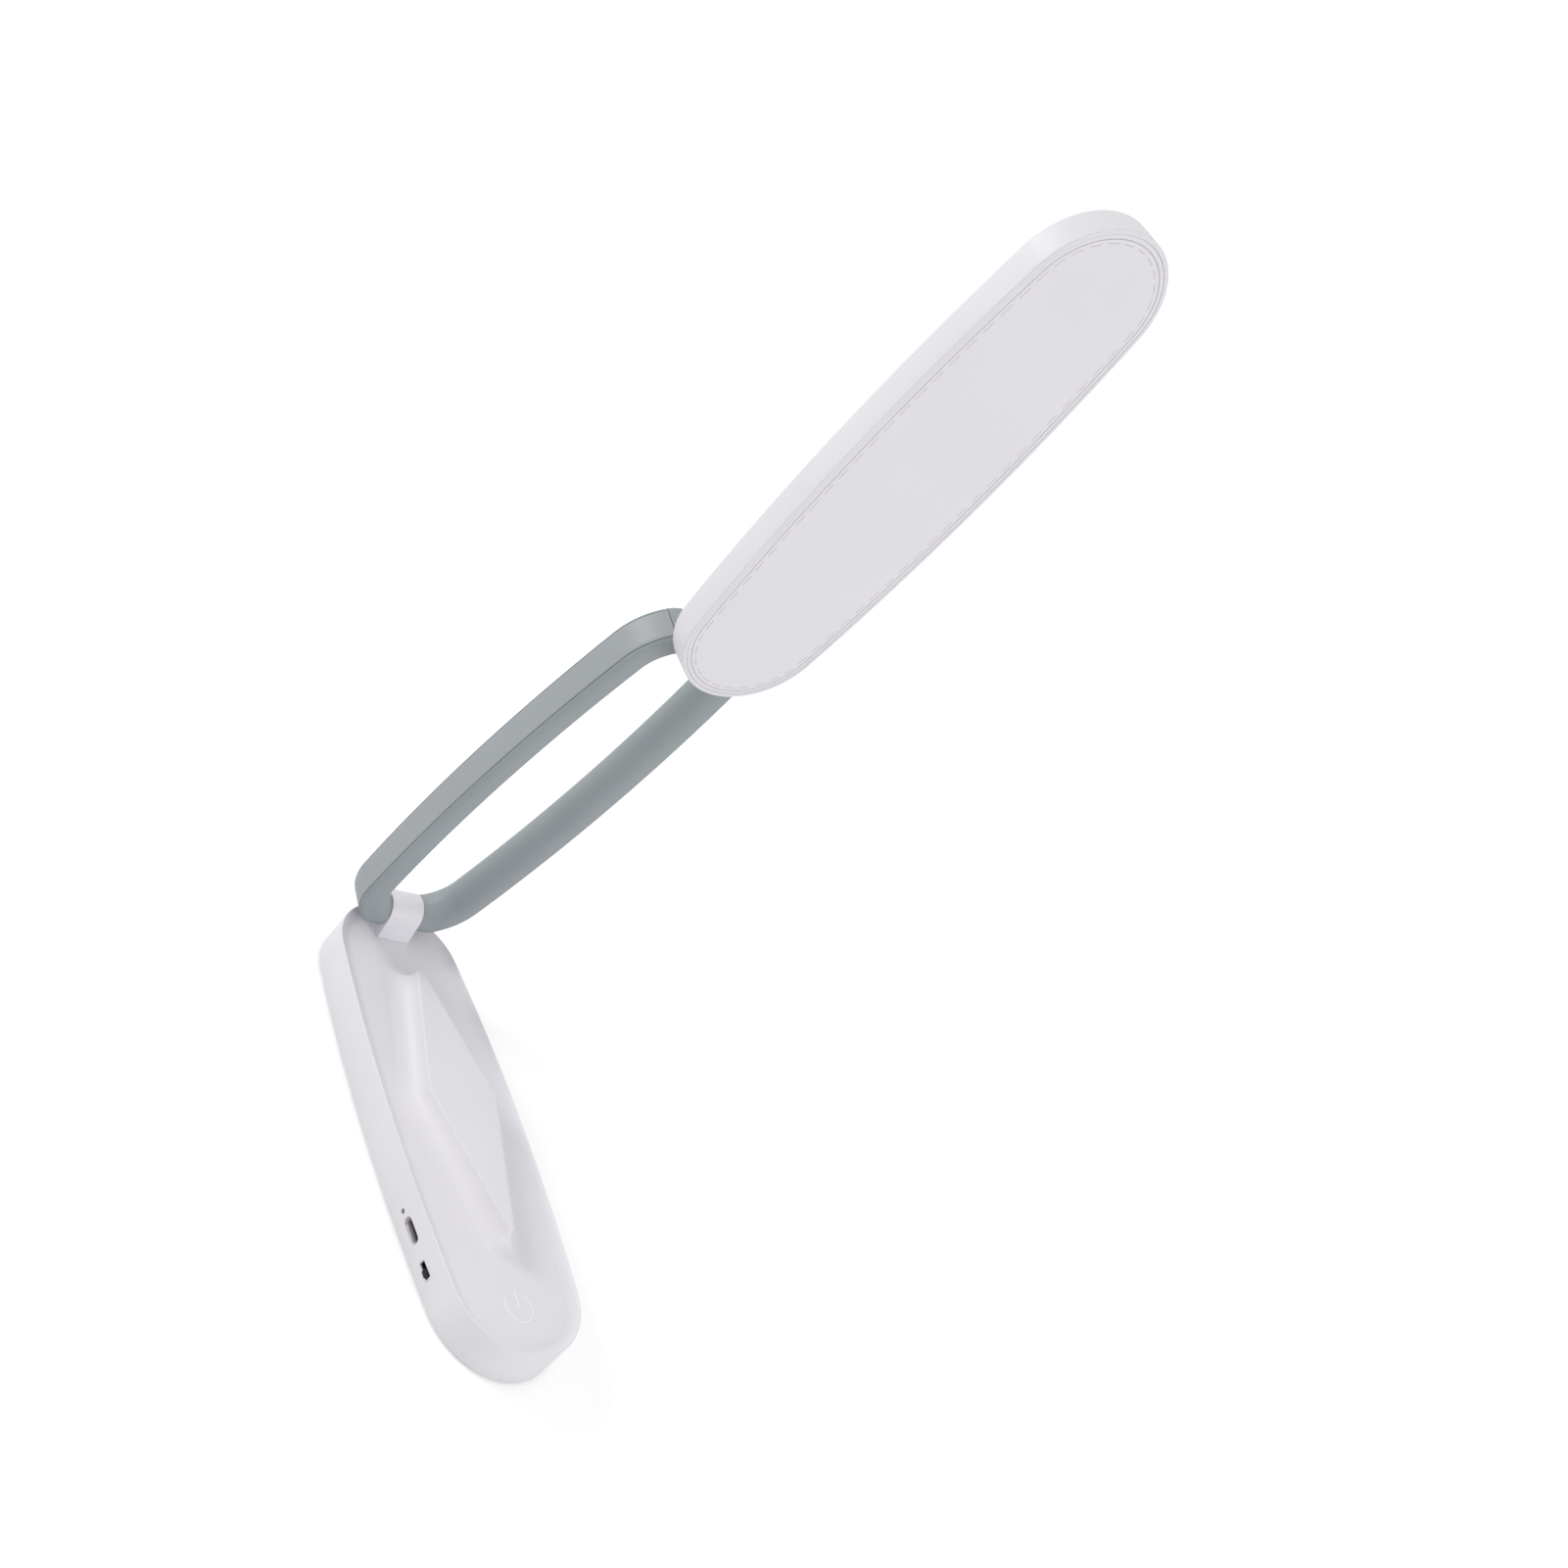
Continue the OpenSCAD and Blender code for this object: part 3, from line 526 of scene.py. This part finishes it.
# %% The metal recipe
def worked_metal(name, colour, roughness=0.3, lines=(1, 1, 40), metallic=1.0):
    material, tree, shader, where = new_material(name)
    stretch = tree.nodes.new("ShaderNodeMapping")
    stretch.location = (-1050, -200)
    stretch.inputs["Scale"].default_value = lines
    tree.links.new(where, stretch.inputs["Vector"])
    streaks = noise(tree, 160, 4, -850, -200, stretch.outputs["Vector"])
    shader.inputs["Metallic"].default_value = metallic
    tint = vary(tree, streaks.outputs["Fac"], 0.0, 1.0, -600, 200)
    darker = tuple(v * 0.85 for v in colour[:3]) + (1.0,)
    tree.links.new(blend_colours(tree, tint, colour, darker, -400, 200), shader.inputs["Base Color"])
    gloss = vary(tree, streaks.outputs["Fac"], roughness - 0.06, roughness + 0.08, -600, -50)
    tree.links.new(gloss, shader.inputs["Roughness"])
    bump = tree.nodes.new("ShaderNodeBump")
    bump.location = (-300, -300)
    bump.inputs["Strength"].default_value = 0.15
    bump.inputs["Distance"].default_value = BUMP_HEIGHT / 2
    tree.links.new(streaks.outputs["Fac"], bump.inputs["Height"])
    tree.links.new(bump.outputs["Normal"], shader.inputs["Normal"])
    return material


socket_steel = worked_metal("drawn_socket_steel", (0.78, 0.74, 0.74, 1), 0.4, metallic=0.35)
print("metal ready:", socket_steel.name)

# %% [markdown]
# ## The charging socket and the slide switch
#
# The socket is a drawn steel shell with rounded ends, let in half a millimetre behind the wall, and a
# black tongue stands in its middle. The knob of the switch is a small black block with grooves for the
# fingernail. It rides on its own body, because it slides. The slot is lined by the black frame of the
# switch, which begins a little behind the wall's face.

# %% Socket
SHELL_WIDTH, SHELL_HEIGHT, SHELL_WALL, SHELL_LENGTH, SHELL_BACK = 8.94, 3.26, 0.3, 7.2, 0.7
TONGUE_HALF_WIDTH, TONGUE_HALF_HEIGHT, TONGUE_START, TONGUE_END = 3.35, 0.35, 0.3, 6.6
SET_BACK = 0.52
socket_x = port_x + SET_BACK
hollow = pill(SHELL_WIDTH - 2 * SHELL_WALL, SHELL_HEIGHT - 2 * SHELL_WALL, SHELL_LENGTH)
shell = cut(pill(SHELL_WIDTH, SHELL_HEIGHT, SHELL_LENGTH), moved(hollow, 0, 0, -SHELL_BACK))
shell = on_left_wall(shell, PORT_Y, PORT_Z, socket_x + SHELL_LENGTH / 2)
finish_piece(shell, "socket_shell", "base", socket_steel, ["charging_port"])
tongue = block((socket_x + TONGUE_START, PORT_Y - TONGUE_HALF_WIDTH, PORT_Z - TONGUE_HALF_HEIGHT),
               (socket_x + TONGUE_END, PORT_Y + TONGUE_HALF_WIDTH, PORT_Z + TONGUE_HALF_HEIGHT), 0.12)
finish_piece(tongue, "socket_tongue", "base", black_moulding)

# %% Knob and lining of its slot
KNOB_HALF_LENGTH, KNOB_HALF_HEIGHT, KNOB_DEPTH, KNOB_STANDS_OUT, KNOB_SHIFT = 1.2, 0.85, 3.6, 0.8, 1.3
knob_y, knob_out = SWITCH_Y - KNOB_SHIFT, switch_x - KNOB_STANDS_OUT
knob = block((knob_out, knob_y - KNOB_HALF_LENGTH, SWITCH_Z - KNOB_HALF_HEIGHT),
             (knob_out + KNOB_DEPTH, knob_y + KNOB_HALF_LENGTH, SWITCH_Z + KNOB_HALF_HEIGHT), 0.18)
NAIL_GROOVE_DEPTH, NAIL_GROOVE_HALF_WIDTH, NAIL_GROOVE_STEP = 0.3, 0.12, 0.62
for step in (-NAIL_GROOVE_STEP, 0, NAIL_GROOVE_STEP):
    groove = block((-NAIL_GROOVE_DEPTH, -NAIL_GROOVE_HALF_WIDTH, -2),
                   (NAIL_GROOVE_DEPTH, NAIL_GROOVE_HALF_WIDTH, 2))
    knob = cut(knob, moved(groove, knob_out, knob_y + step, SWITCH_Z))
finish_piece(knob, "slide_knob", "switch", black_moulding, ["switch_knob"])

LINING_START, LINING_DEPTH, LINING_WALL = 0.42, 2.2, 0.18
lining_x = switch_x + LINING_START
inside = slot_block(lining_x - 1, lining_x + 4, LINING_WALL)
lining = cut(slot_block(lining_x, lining_x + LINING_DEPTH), inside)
finish_piece(lining, "switch_slot_lining", "base", black_moulding)

# %% [markdown]
# ## The ring arm
#
# Each half of the ring is one moulding: flat outside, half-round inside, with a generous fillet along both
# outer edges. Its section is carried along one long side and into both round ends. The ends are then
# trimmed by a long shape that gets thinner towards its round ends, which turns them into the stubs that
# the hinge pins run in, and a box opens the gap for the knuckle. The cover strip is the same section cut
# down to its outer skin, so that it follows the fillets a little way round. It lies in a pocket that is
# a quarter of a millimetre wider on each side, and that gap is the fine parting line of the picture.

# %% Section and trimming tools of the ring
HALF_T, LIMB, FILLET = 6.9, 11.2, 3.0
BAND_HALF, GAP, STUB = HALF_T - FILLET + 1.15, 0.24, 6.3
POCKET, BAND_DEPTH, LIMB_END = 1.2, 1.19, math.radians(88)
TAPER_RUN, TAPER_INSET, RING_DEPTH = 16, 1.1, 120
KNUCKLE_GAP, KNUCKLE_REACH, WASHER_SEAT, PIN_BORE = 6.9, 17.5, (4.65, 8.15), (2.52, 13.65)
BAND_END = math.asin((RING_RADIUS - HALF_T + 1.4) / RING_RADIUS)


def limb_section(bm):
    nose = -(LIMB - HALF_T)
    pen = Pen(bm, nose, HALF_T)
    pen.line(-FILLET, HALF_T)
    pen.arc(-FILLET, HALF_T - FILLET, 90, 12)
    pen.line(0, -HALF_T + FILLET)
    pen.arc(-FILLET, -HALF_T + FILLET, 90, 12)
    pen.line(nose, -HALF_T)
    pen.arc(nose, 0, 180, 28)
    return pen.drawn


def pocket_section(bm):
    pen = Pen(bm, -POCKET, -BAND_HALF)
    pen.line(1, -BAND_HALF)
    pen.line(1, BAND_HALF)
    pen.line(-POCKET, BAND_HALF)
    pen.close()
    return pen.drawn


def push_out(bm, width):
    bmesh.ops.contextual_create(bm, geom=bm.edges[:])
    made = bmesh.ops.extrude_face_region(bm, geom=bm.faces[:])["geom"]
    fresh = [g for g in made if isinstance(g, bmesh.types.BMVert)]
    bmesh.ops.translate(bm, verts=fresh, vec=(0, width, 0))
    on_edge = Matrix(((0, 1, 0, -width / 2), (1, 0, 0, 0), (0, 0, 1, 0), (0, 0, 0, 1)))
    bmesh.ops.transform(bm, matrix=on_edge, verts=bm.verts)


def ring_profile():
    bm = bmesh.new()
    inset = STUB + TAPER_INSET - HALF_T
    middle = REACH / 2
    thicker = (HALF_T - STUB) / (TAPER_RUN - inset) * (middle - inset)
    pen = Pen(bm, inset, STUB)
    pen.line(middle, STUB + thicker)
    pen.line(REACH - inset, STUB)
    pen.arc(REACH - inset, 0, 180, 40)
    pen.line(middle, -STUB - thicker)
    pen.line(inset, -STUB)
    pen.arc(inset, 0, 180, 40)
    bmesh.ops.remove_doubles(bm, verts=bm.verts, dist=0.005)
    push_out(bm, RING_DEPTH)
    return bm


print(f"ring section {LIMB} x {2 * HALF_T} mm, cover strip ends {math.degrees(BAND_END):.1f} degrees round")

# %% [markdown]
# A limb is the carried section, cut to the tapered side view, with the strip's pocket, the gap for the
# knuckle and the two bores for washer and pin at each end. The left one is the right one mirrored.

# %% One limb
def make_limb(mirror):
    limb = bmesh.new()
    carry_along_side(limb, limb_section(limb), RING_LENGTH, RING_WIDTH, RING_RADIUS, LIMB_END)
    close_holes(limb)
    moved(limb, 0, REACH / 2, 0)
    limb = cut(limb, ring_profile(), "INTERSECT")
    pocket = bmesh.new()
    carry_along_side(pocket, pocket_section(pocket), RING_LENGTH, RING_WIDTH, RING_RADIUS, BAND_END)
    close_holes(pocket)
    limb = cut(limb, moved(pocket, 0, REACH / 2, 0))
    for y in (0, REACH):
        limb = cut(limb, block((-KNUCKLE_GAP, y - KNUCKLE_REACH, -20), (KNUCKLE_GAP, y + KNUCKLE_REACH, 20)))
        for radius, length in (WASHER_SEAT, PIN_BORE):
            limb = cut(limb, moved(rod(radius, 0, length, "X"), 0, y, 0))
    if mirror:
        bmesh.ops.scale(limb, vec=(-1, 1, 1), verts=limb.verts)
    return limb


def make_band(mirror):
    band = bmesh.new()
    edge_z = BAND_HALF - GAP
    turn = math.degrees(math.asin((edge_z - HALF_T + FILLET) / FILLET))
    edge_x = -FILLET + FILLET * math.cos(math.radians(turn))
    pen = Pen(band, -BAND_DEPTH, -edge_z)
    pen.line(edge_x, -edge_z)
    pen.arc(-FILLET, -HALF_T + FILLET, -turn, 4)
    pen.line(0, HALF_T - FILLET)
    pen.arc(-FILLET, HALF_T - FILLET, -turn, 4)
    pen.line(-BAND_DEPTH, edge_z)
    pen.close()
    carry_along_side(band, pen.drawn, RING_LENGTH, RING_WIDTH, RING_RADIUS, BAND_END - math.radians(0.5))
    close_holes(band)
    bmesh.ops.recalc_face_normals(band, faces=band.faces)
    moved(band, 0, REACH / 2, 0)
    if mirror:
        bmesh.ops.scale(band, vec=(-1, 1, 1), verts=band.verts)
    return band


for word, mirror in (("left", True), ("right", False)):
    finish_piece(make_limb(mirror), f"ring_limb_{word}", "arm", grey_ring, [f"arm_limb_{word}"], in_arm)
    finish_piece(make_band(mirror), f"ring_band_{word}", "arm", grey_band, [f"arm_strip_{word}"], in_arm)

# %% [markdown]
# ## The knuckles
#
# A white knuckle sits in each gap of the ring, round the hinge pin. It stands on the base, or on the back
# of the head, with a foot that leans out by ten degrees. Its side view is drawn with the pen: up the foot,
# 230 degrees round the pin and down again. It is then pushed out to its width and softened all round.

# %% Knuckles
KNUCKLE, KNUCKLE_BACK, KNUCKLE_BORE, KNUCKLE_EDGE = 13.2, 3.4, 4.02, 0.3
KNUCKLE_LEAN, KNUCKLE_TURN = math.radians(10), 230.5


def make_knuckle(stand):
    bm = bmesh.new()
    foot_x, foot_z = -HALF_T * math.cos(KNUCKLE_LEAN), HALF_T * math.sin(KNUCKLE_LEAN)
    pen = Pen(bm, foot_x - (stand + foot_z) * math.tan(KNUCKLE_LEAN), -stand)
    pen.line(foot_x, foot_z)
    pen.arc(0, 0, KNUCKLE_TURN, 72)
    pen.line(KNUCKLE_BACK, -stand)
    pen.close()
    push_out(bm, KNUCKLE)
    bmesh.ops.recalc_face_normals(bm, faces=bm.faces)
    round_edges(bm, corner_edges(bm, 0.6), KNUCKLE_EDGE, 3)
    return cut(bm, rod(KNUCKLE_BORE, -20, 20, "X", 64))


BASE_STAND, HEAD_STAND = 7.2, 7.15
upside_down = Matrix.Rotation(math.pi, 4, "X")
finish_piece(make_knuckle(BASE_STAND), "base_hinge_knuckle", "base", white_casing, ["base_knuckle"],
             Matrix.Translation(BASE_PIN))
finish_piece(make_knuckle(HEAD_STAND), "head_hinge_knuckle", "head", head_white, ["head_knuckle"],
             in_head @ upside_down)

# %% [markdown]
# ## The light head
#
# The head is a flat tray with the same outline as the base. Its rim is a thin lip, and the frosted cover
# sits a hair lower inside it, with a fine groove between the two. The lamps stand along the inside of
# the rim and shine inwards, and what shows of them through the cover is a ring of short faint dashes.

# %% Head casing
HEAD_T, BACK_EDGE, FRONT_EDGE, LIP, BACK_WALL, HEAD_INNER_END = 9.6, 1.2, 0.4, 1.4, 1.6, 6.0
LIP_BEVEL = 0.1
head_at = Matrix.Translation((0, REACH / 2, HEAD_STAND))
shell = bmesh.new()
pen = Pen(shell, -HEAD_INNER_END, 0)
pen.line(-BACK_EDGE, 0)
pen.arc(-BACK_EDGE, BACK_EDGE, -90, 8)
pen.line(0, HEAD_T - FRONT_EDGE)
pen.arc(-FRONT_EDGE, HEAD_T - FRONT_EDGE, -90, 5)
pen.line(-LIP + LIP_BEVEL, HEAD_T)
pen.line(-LIP, HEAD_T - LIP_BEVEL)
pen.line(-LIP, BACK_WALL)
pen.line(-HEAD_INNER_END, BACK_WALL)
carry_round(shell, pen.drawn, BODY_LENGTH, BODY_WIDTH, END_RADIUS)
close_holes(shell)
finish_piece(shell, "head_casing", "head", head_white, ["head_shell"], in_head @ head_at)

# %% [markdown]
# To draw marks that follow the rim, we need to know for each point of the cover how far inside the
# outline it lies and how far along it. Both follow from the outline's own arcs, and one quarter of it is
# enough, because the four quarters are mirror images.

# %% Where a point of the cover lies along the rim
def rim_place(x, y):
    x, y = abs(x), abs(y)
    turn = math.atan2(y, x + centre)
    if turn <= half:
        return side - math.hypot(x + centre, y), side * turn
    turn = math.atan2(y - run, x)
    return END_RADIUS - math.hypot(x, y - run), side * half + END_RADIUS * (turn - half)


QUARTER = side * half + END_RADIUS * (math.pi / 2 - half)
PITCH = QUARTER / round(QUARTER / 6)
print(f"rim: a quarter of it is {QUARTER:.1f} mm long, one lamp every {PITCH:.2f} mm")

# %% [markdown]
# Two marks are drawn on the cover: painted shade, a grey line that darkens the fine groove near its edge,
# and the short dashes of the lamps that lie behind it. The mesh carries, as a second set of coordinates, how
# far a point lies inside the outline
# and how far along it. With these the shader draws lines that follow the rim, which Object coordinates
# can't do round the ends.

# %% Frosted cover
def math_node(tree, kind, one, two, x, y):
    node = tree.nodes.new("ShaderNodeMath")
    node.operation = kind
    node.location = (x, y)
    for socket, value in zip(node.inputs, (one, two)):
        if isinstance(value, float):
            socket.default_value = value
        else:
            tree.links.new(value, socket)
    return node.outputs[0]


def soft_step(tree, value, full, none, x, y):
    node = tree.nodes.new("ShaderNodeMapRange")
    node.location = (x, y)
    for name, number in (("From Min", full), ("From Max", none), ("To Min", 1.0), ("To Max", 0.0)):
        node.inputs[name].default_value = number
    tree.links.new(value, node.inputs["Value"])
    return node.outputs["Result"]


def distance_from(tree, value, mark, y):
    return math_node(tree, "ABSOLUTE", math_node(tree, "SUBTRACT", value, mark, -1100, y), 0.0, -950, y)


DASH_INSET, LINE_INSET = 4.05, 2.75


def mark_the_rim(material):
    tree = material.node_tree
    shader = tree.nodes["Principled BSDF"]
    plain = shader.inputs["Base Color"].links[0].from_socket
    place = tree.nodes.new("ShaderNodeUVMap")
    place.uv_map = "rim_place"
    place.location = (-1500, 700)
    apart = tree.nodes.new("ShaderNodeSeparateXYZ")
    apart.location = (-1300, 700)
    tree.links.new(place.outputs[0], apart.inputs[0])
    inset, along = apart.outputs[0], apart.outputs[1]
    from_lamps = distance_from(tree, inset, DASH_INSET, 800)
    from_middle = math_node(tree, "PINGPONG", along, PITCH / 2, -1100, 600)
    dash = math_node(tree, "MULTIPLY", soft_step(tree, from_lamps, 0.1, 0.24, -800, 800),
                     soft_step(tree, from_middle, 0.31 * PITCH, 0.34 * PITCH, -800, 600), -600, 700)
    # painted shade: a grey line along the fine groove at LINE_INSET, darkening it where shade falls
    line = soft_step(tree, distance_from(tree, inset, LINE_INSET, 1000), 0.1, 0.2, -800, 1000)
    # the first mark is the painted groove shade, the second the lamps seen through the cover
    marks = ((line, 0.7, from_screen(172, 168, 172), 500), (dash, 0.9, from_screen(196, 186, 193), 650))
    for mark, strength, colour, y in marks:
        mix = tree.nodes.new("ShaderNodeMix")
        mix.data_type = "RGBA"
        mix.location = (-200, y)
        mix.inputs[7].default_value = colour
        tree.links.new(math_node(tree, "MULTIPLY", mark, strength, -450, y), mix.inputs[0])
        tree.links.new(plain, mix.inputs[6])
        plain = mix.outputs[2]
    tree.links.new(plain, shader.inputs["Base Color"])


frosted = moulded_plastic("frosted_cover", from_screen(222, 220, 225), gloss=(0.5, 0.58), clouds=0.015)
mark_the_rim(frosted)
COVER_BACK, COVER_FRONT, COVER_INSET, COVER_INNER_END, COVER_EDGE = 7.81, 9.48, 1.47, 8.0, 0.1
GROOVE_HALF_WIDTH, GROOVE_DEPTH = 0.13, 0.12
cover = bmesh.new()
pen = Pen(cover, -COVER_INNER_END, COVER_BACK)
pen.line(-COVER_INSET, COVER_BACK)
pen.line(-COVER_INSET, COVER_FRONT - COVER_EDGE)
pen.arc(-COVER_INSET - COVER_EDGE, COVER_FRONT - COVER_EDGE, -90, 3)
pen.line(-LINE_INSET + GROOVE_HALF_WIDTH, COVER_FRONT)
pen.line(-LINE_INSET, COVER_FRONT - GROOVE_DEPTH)
pen.line(-LINE_INSET - GROOVE_HALF_WIDTH, COVER_FRONT)
pen.line(-COVER_INNER_END, COVER_FRONT)
carry_round(cover, pen.drawn, BODY_LENGTH, BODY_WIDTH, END_RADIUS)
close_holes(cover)
layer = cover.loops.layers.uv.new("rim_place")
for face in cover.faces:
    for corner in face.loops:
        corner[layer].uv = rim_place(corner.vert.co.x, corner.vert.co.y)
finish_piece(cover, "frosted_cover", "head", frosted, ["diffuser"], in_head @ head_at)

# %% [markdown]
# ## Everything that stays as it was built
#
# Pins, sleeves, washers, screws, boards and plates are right as they are and only get a material: turned
# and rolled metal with fine lines, rubber, brass, foil, printed board.

# %% Metals
steel = worked_metal("ground_steel", (0.56, 0.57, 0.58, 1))
spring_steel = worked_metal("spring_steel", (0.62, 0.61, 0.6, 1), 0.25)
aluminium = worked_metal("rolled_aluminium", (0.78, 0.79, 0.8, 1), 0.35, (1, 40, 1))
brass = worked_metal("plain_brass", (0.78, 0.6, 0.32, 1), 0.28)
rubber = moulded_plastic("grey_rubber", from_screen(150, 150, 153), gloss=(0.75, 0.85), clouds=0.08,
                         grain=0.3, grain_size=0.5)
board = moulded_plastic("printed_board", from_screen(38, 92, 62), gloss=(0.3, 0.4), clouds=0.2,
                        grain=0.1, grain_size=0.4)
film = moulded_plastic("copper_film", from_screen(200, 140, 80), gloss=(0.3, 0.4), clouds=0.1)
white_film = moulded_plastic("white_film", from_screen(240, 240, 238), gloss=(0.4, 0.5))
sleeve = moulded_plastic("sleeve_plastic", from_screen(228, 227, 222), gloss=(0.3, 0.4))
clear = moulded_plastic("clear_acrylic", from_screen(232, 238, 240), gloss=(0.1, 0.16), clouds=0.02)
smoked = moulded_plastic("smoked_acrylic", from_screen(120, 120, 124), gloss=(0.15, 0.2), clouds=0.02)
lamp_gel = moulded_plastic("lamp_gel", from_screen(244, 226, 150), gloss=(0.2, 0.3))

finishes = (
    (steel, ("ballast_plate", "cover_screws", "base_knuckle_plate", "base_knuckle_screws", "base_hinge_pin",
             "head_hinge_pin", "head_knuckle_plate", "head_knuckle_screws", "head_plate_screws")),
    (spring_steel, ("base_hinge_washers", "head_hinge_washers")),
    (aluminium, ("battery", "head_plate")),
    (brass, ("touch_plate", "touch_contact")),
    (rubber, ("foot_pad",)),
    (board, ("control_board", "driver_board")),
    (film, ("arm_flat_cable",)),
    (white_film, ("reflector", "led_strip")),
    (sleeve, ("base_hinge_bush", "head_hinge_bush")),
    (white_casing, ("base_cover",)),
    (black_moulding, ("switch_body",)),
    (smoked, ("indicator_pipe",)),
    (clear, ("light_guide",)),
    (lamp_gel, ("led_lamps",)),
)
for material, names in finishes:
    for name in names:
        mesh = nodes[name].data
        mesh.materials.clear()
        mesh.materials.append(material)
print("finished nodes:", sum(len(names) for material, names in finishes))

# %% [markdown]
# ## The studio
#
# A plain white floor, a white surrounding and three soft lamps. The floor glows a little, but only for
# the camera. The glow grows with the distance from the lamp, so that close by the floor still takes a
# shadow and far off it runs into the white.

# %% Floor
scene = bpy.context.scene
scene.view_settings.view_transform = "Standard"

JUST_BELOW = 0.0002
GLOW_FROM, GLOW_TO, NEAR_GLOW, FAR_GLOW = 0.12, 0.6, 0.26, 0.6

floor_mesh = bmesh.new()
bmesh.ops.create_grid(floor_mesh, x_segments=8, y_segments=8, size=6)
floor_data = bpy.data.meshes.new("floor")
floor_mesh.to_mesh(floor_data)
floor_mesh.free()
floor = bpy.data.objects.new("floor", floor_data)
scene.collection.objects.link(floor)
floor.location.z = -JUST_BELOW

floor_material = bpy.data.materials.new("studio_floor")
floor_material.use_nodes = True
tree = floor_material.node_tree
tree.nodes.clear()
out = tree.nodes.new("ShaderNodeOutputMaterial")
paint = tree.nodes.new("ShaderNodeBsdfDiffuse")
paint.inputs["Color"].default_value = (0.86, 0.86, 0.86, 1)
glow = tree.nodes.new("ShaderNodeEmission")
spot = tree.nodes.new("ShaderNodeTexCoord")
away = tree.nodes.new("ShaderNodeVectorMath")
away.operation = "LENGTH"
level = tree.nodes.new("ShaderNodeMapRange")
limits = (("From Min", GLOW_FROM), ("From Max", GLOW_TO), ("To Min", NEAR_GLOW), ("To Max", FAR_GLOW))
for name, number in limits:
    level.inputs[name].default_value = number
tree.links.new(spot.outputs["Object"], away.inputs[0])
tree.links.new(away.outputs["Value"], level.inputs["Value"])
tree.links.new(level.outputs["Result"], glow.inputs["Strength"])
both = tree.nodes.new("ShaderNodeAddShader")
seen = tree.nodes.new("ShaderNodeLightPath")
pick = tree.nodes.new("ShaderNodeMixShader")
tree.links.new(paint.outputs[0], both.inputs[0])
tree.links.new(glow.outputs[0], both.inputs[1])
tree.links.new(seen.outputs["Is Camera Ray"], pick.inputs[0])
tree.links.new(paint.outputs[0], pick.inputs[1])
tree.links.new(both.outputs[0], pick.inputs[2])
tree.links.new(pick.outputs[0], out.inputs[0])
floor_data.materials.append(floor_material)
print(f"floor glows from {NEAR_GLOW} near the lamp to {FAR_GLOW} far off")

# %% [markdown]
# The surrounding is full white to the camera and in reflections, but lights the lamp with less. That
# level is set so that a colour comes out about as it is written.

# %% Surroundings
SURROUNDING_LIGHT = 0.69
world = bpy.data.worlds.new("white_surrounding")
scene.world = world
world.use_nodes = True
tree = world.node_tree
tree.nodes.clear()
out = tree.nodes.new("ShaderNodeOutputWorld")
soft = tree.nodes.new("ShaderNodeBackground")
soft.inputs["Color"].default_value = (1, 1, 1, 1)
soft.inputs["Strength"].default_value = SURROUNDING_LIGHT
white = tree.nodes.new("ShaderNodeBackground")
white.inputs["Color"].default_value = (1, 1, 1, 1)
white.inputs["Strength"].default_value = 1.0
seen = tree.nodes.new("ShaderNodeLightPath")
either = tree.nodes.new("ShaderNodeMath")
either.operation = "MAXIMUM"
any_seen = tree.nodes.new("ShaderNodeMath")
any_seen.operation = "MAXIMUM"
pick = tree.nodes.new("ShaderNodeMixShader")
tree.links.new(seen.outputs["Is Camera Ray"], either.inputs[0])
tree.links.new(seen.outputs["Is Glossy Ray"], either.inputs[1])
tree.links.new(either.outputs[0], any_seen.inputs[0])
tree.links.new(seen.outputs["Is Transmission Ray"], any_seen.inputs[1])
tree.links.new(any_seen.outputs[0], pick.inputs[0])
tree.links.new(soft.outputs[0], pick.inputs[1])
tree.links.new(white.outputs[0], pick.inputs[2])
tree.links.new(pick.outputs[0], out.inputs[0])
print(f"surrounding white, lights with {SURROUNDING_LIGHT}")

# %% [markdown]
# The strongest light stands behind the desk lamp on the left and rather low, a wide one in front fills the
# shadows, and a weak one overhead lifts the tops. Their places and powers were tried until the faces came
# out about as light as in the picture. They are large discs, because a small light would draw hard shadows
# on the white plastic.

# %% Lamps of the studio
def soft_lamp(name, place, target, size, power):
    data = bpy.data.lights.new(name, "AREA")
    data.shape, data.size, data.energy = "DISK", size, power
    lamp = bpy.data.objects.new(name, data)
    lamp.location = place
    lamp.rotation_euler = (Vector(target) - Vector(place)).to_track_quat("-Z", "Y").to_euler()
    scene.collection.objects.link(lamp)


middle = (0, 0.02, 0.15)
soft_lamp("key_from_behind_on_the_left", (-1.3, 1.25, 0.85), middle, 0.7, 15.3)
soft_lamp("fill_from_the_front", (0.6, -1.75, 0.65), middle, 1.2, 10.8)
soft_lamp("top_light", (0.1, 0.3, 2.2), middle, 1.6, 3.4)

# %% [markdown]
# ## The camera
#
# Place, direction and focal length come from the picture itself: they are the ones at which the lamp's
# straight and round edges fall where the picture shows them. The small shift says that the picture is a
# crop whose middle isn't the middle of the lens.

# %% Camera
data = bpy.data.cameras.new("camera")
data.sensor_width, data.lens = 36.0, 40.4449
data.shift_x, data.shift_y = 0.067417, -0.003235
data.clip_start, data.clip_end = 0.01, 50
camera = bpy.data.objects.new("camera", data)
camera.location = (-0.3545877, -0.2961902, 0.3738553)
camera.rotation_euler = [math.radians(v) for v in (57.6856, -37.1354, -27.0435)]
scene.collection.objects.link(camera)
scene.camera = camera
print(f"camera: {data.lens:.1f} mm lens, {camera.location.length:.2f} m from the middle of the base")

# %% [markdown]
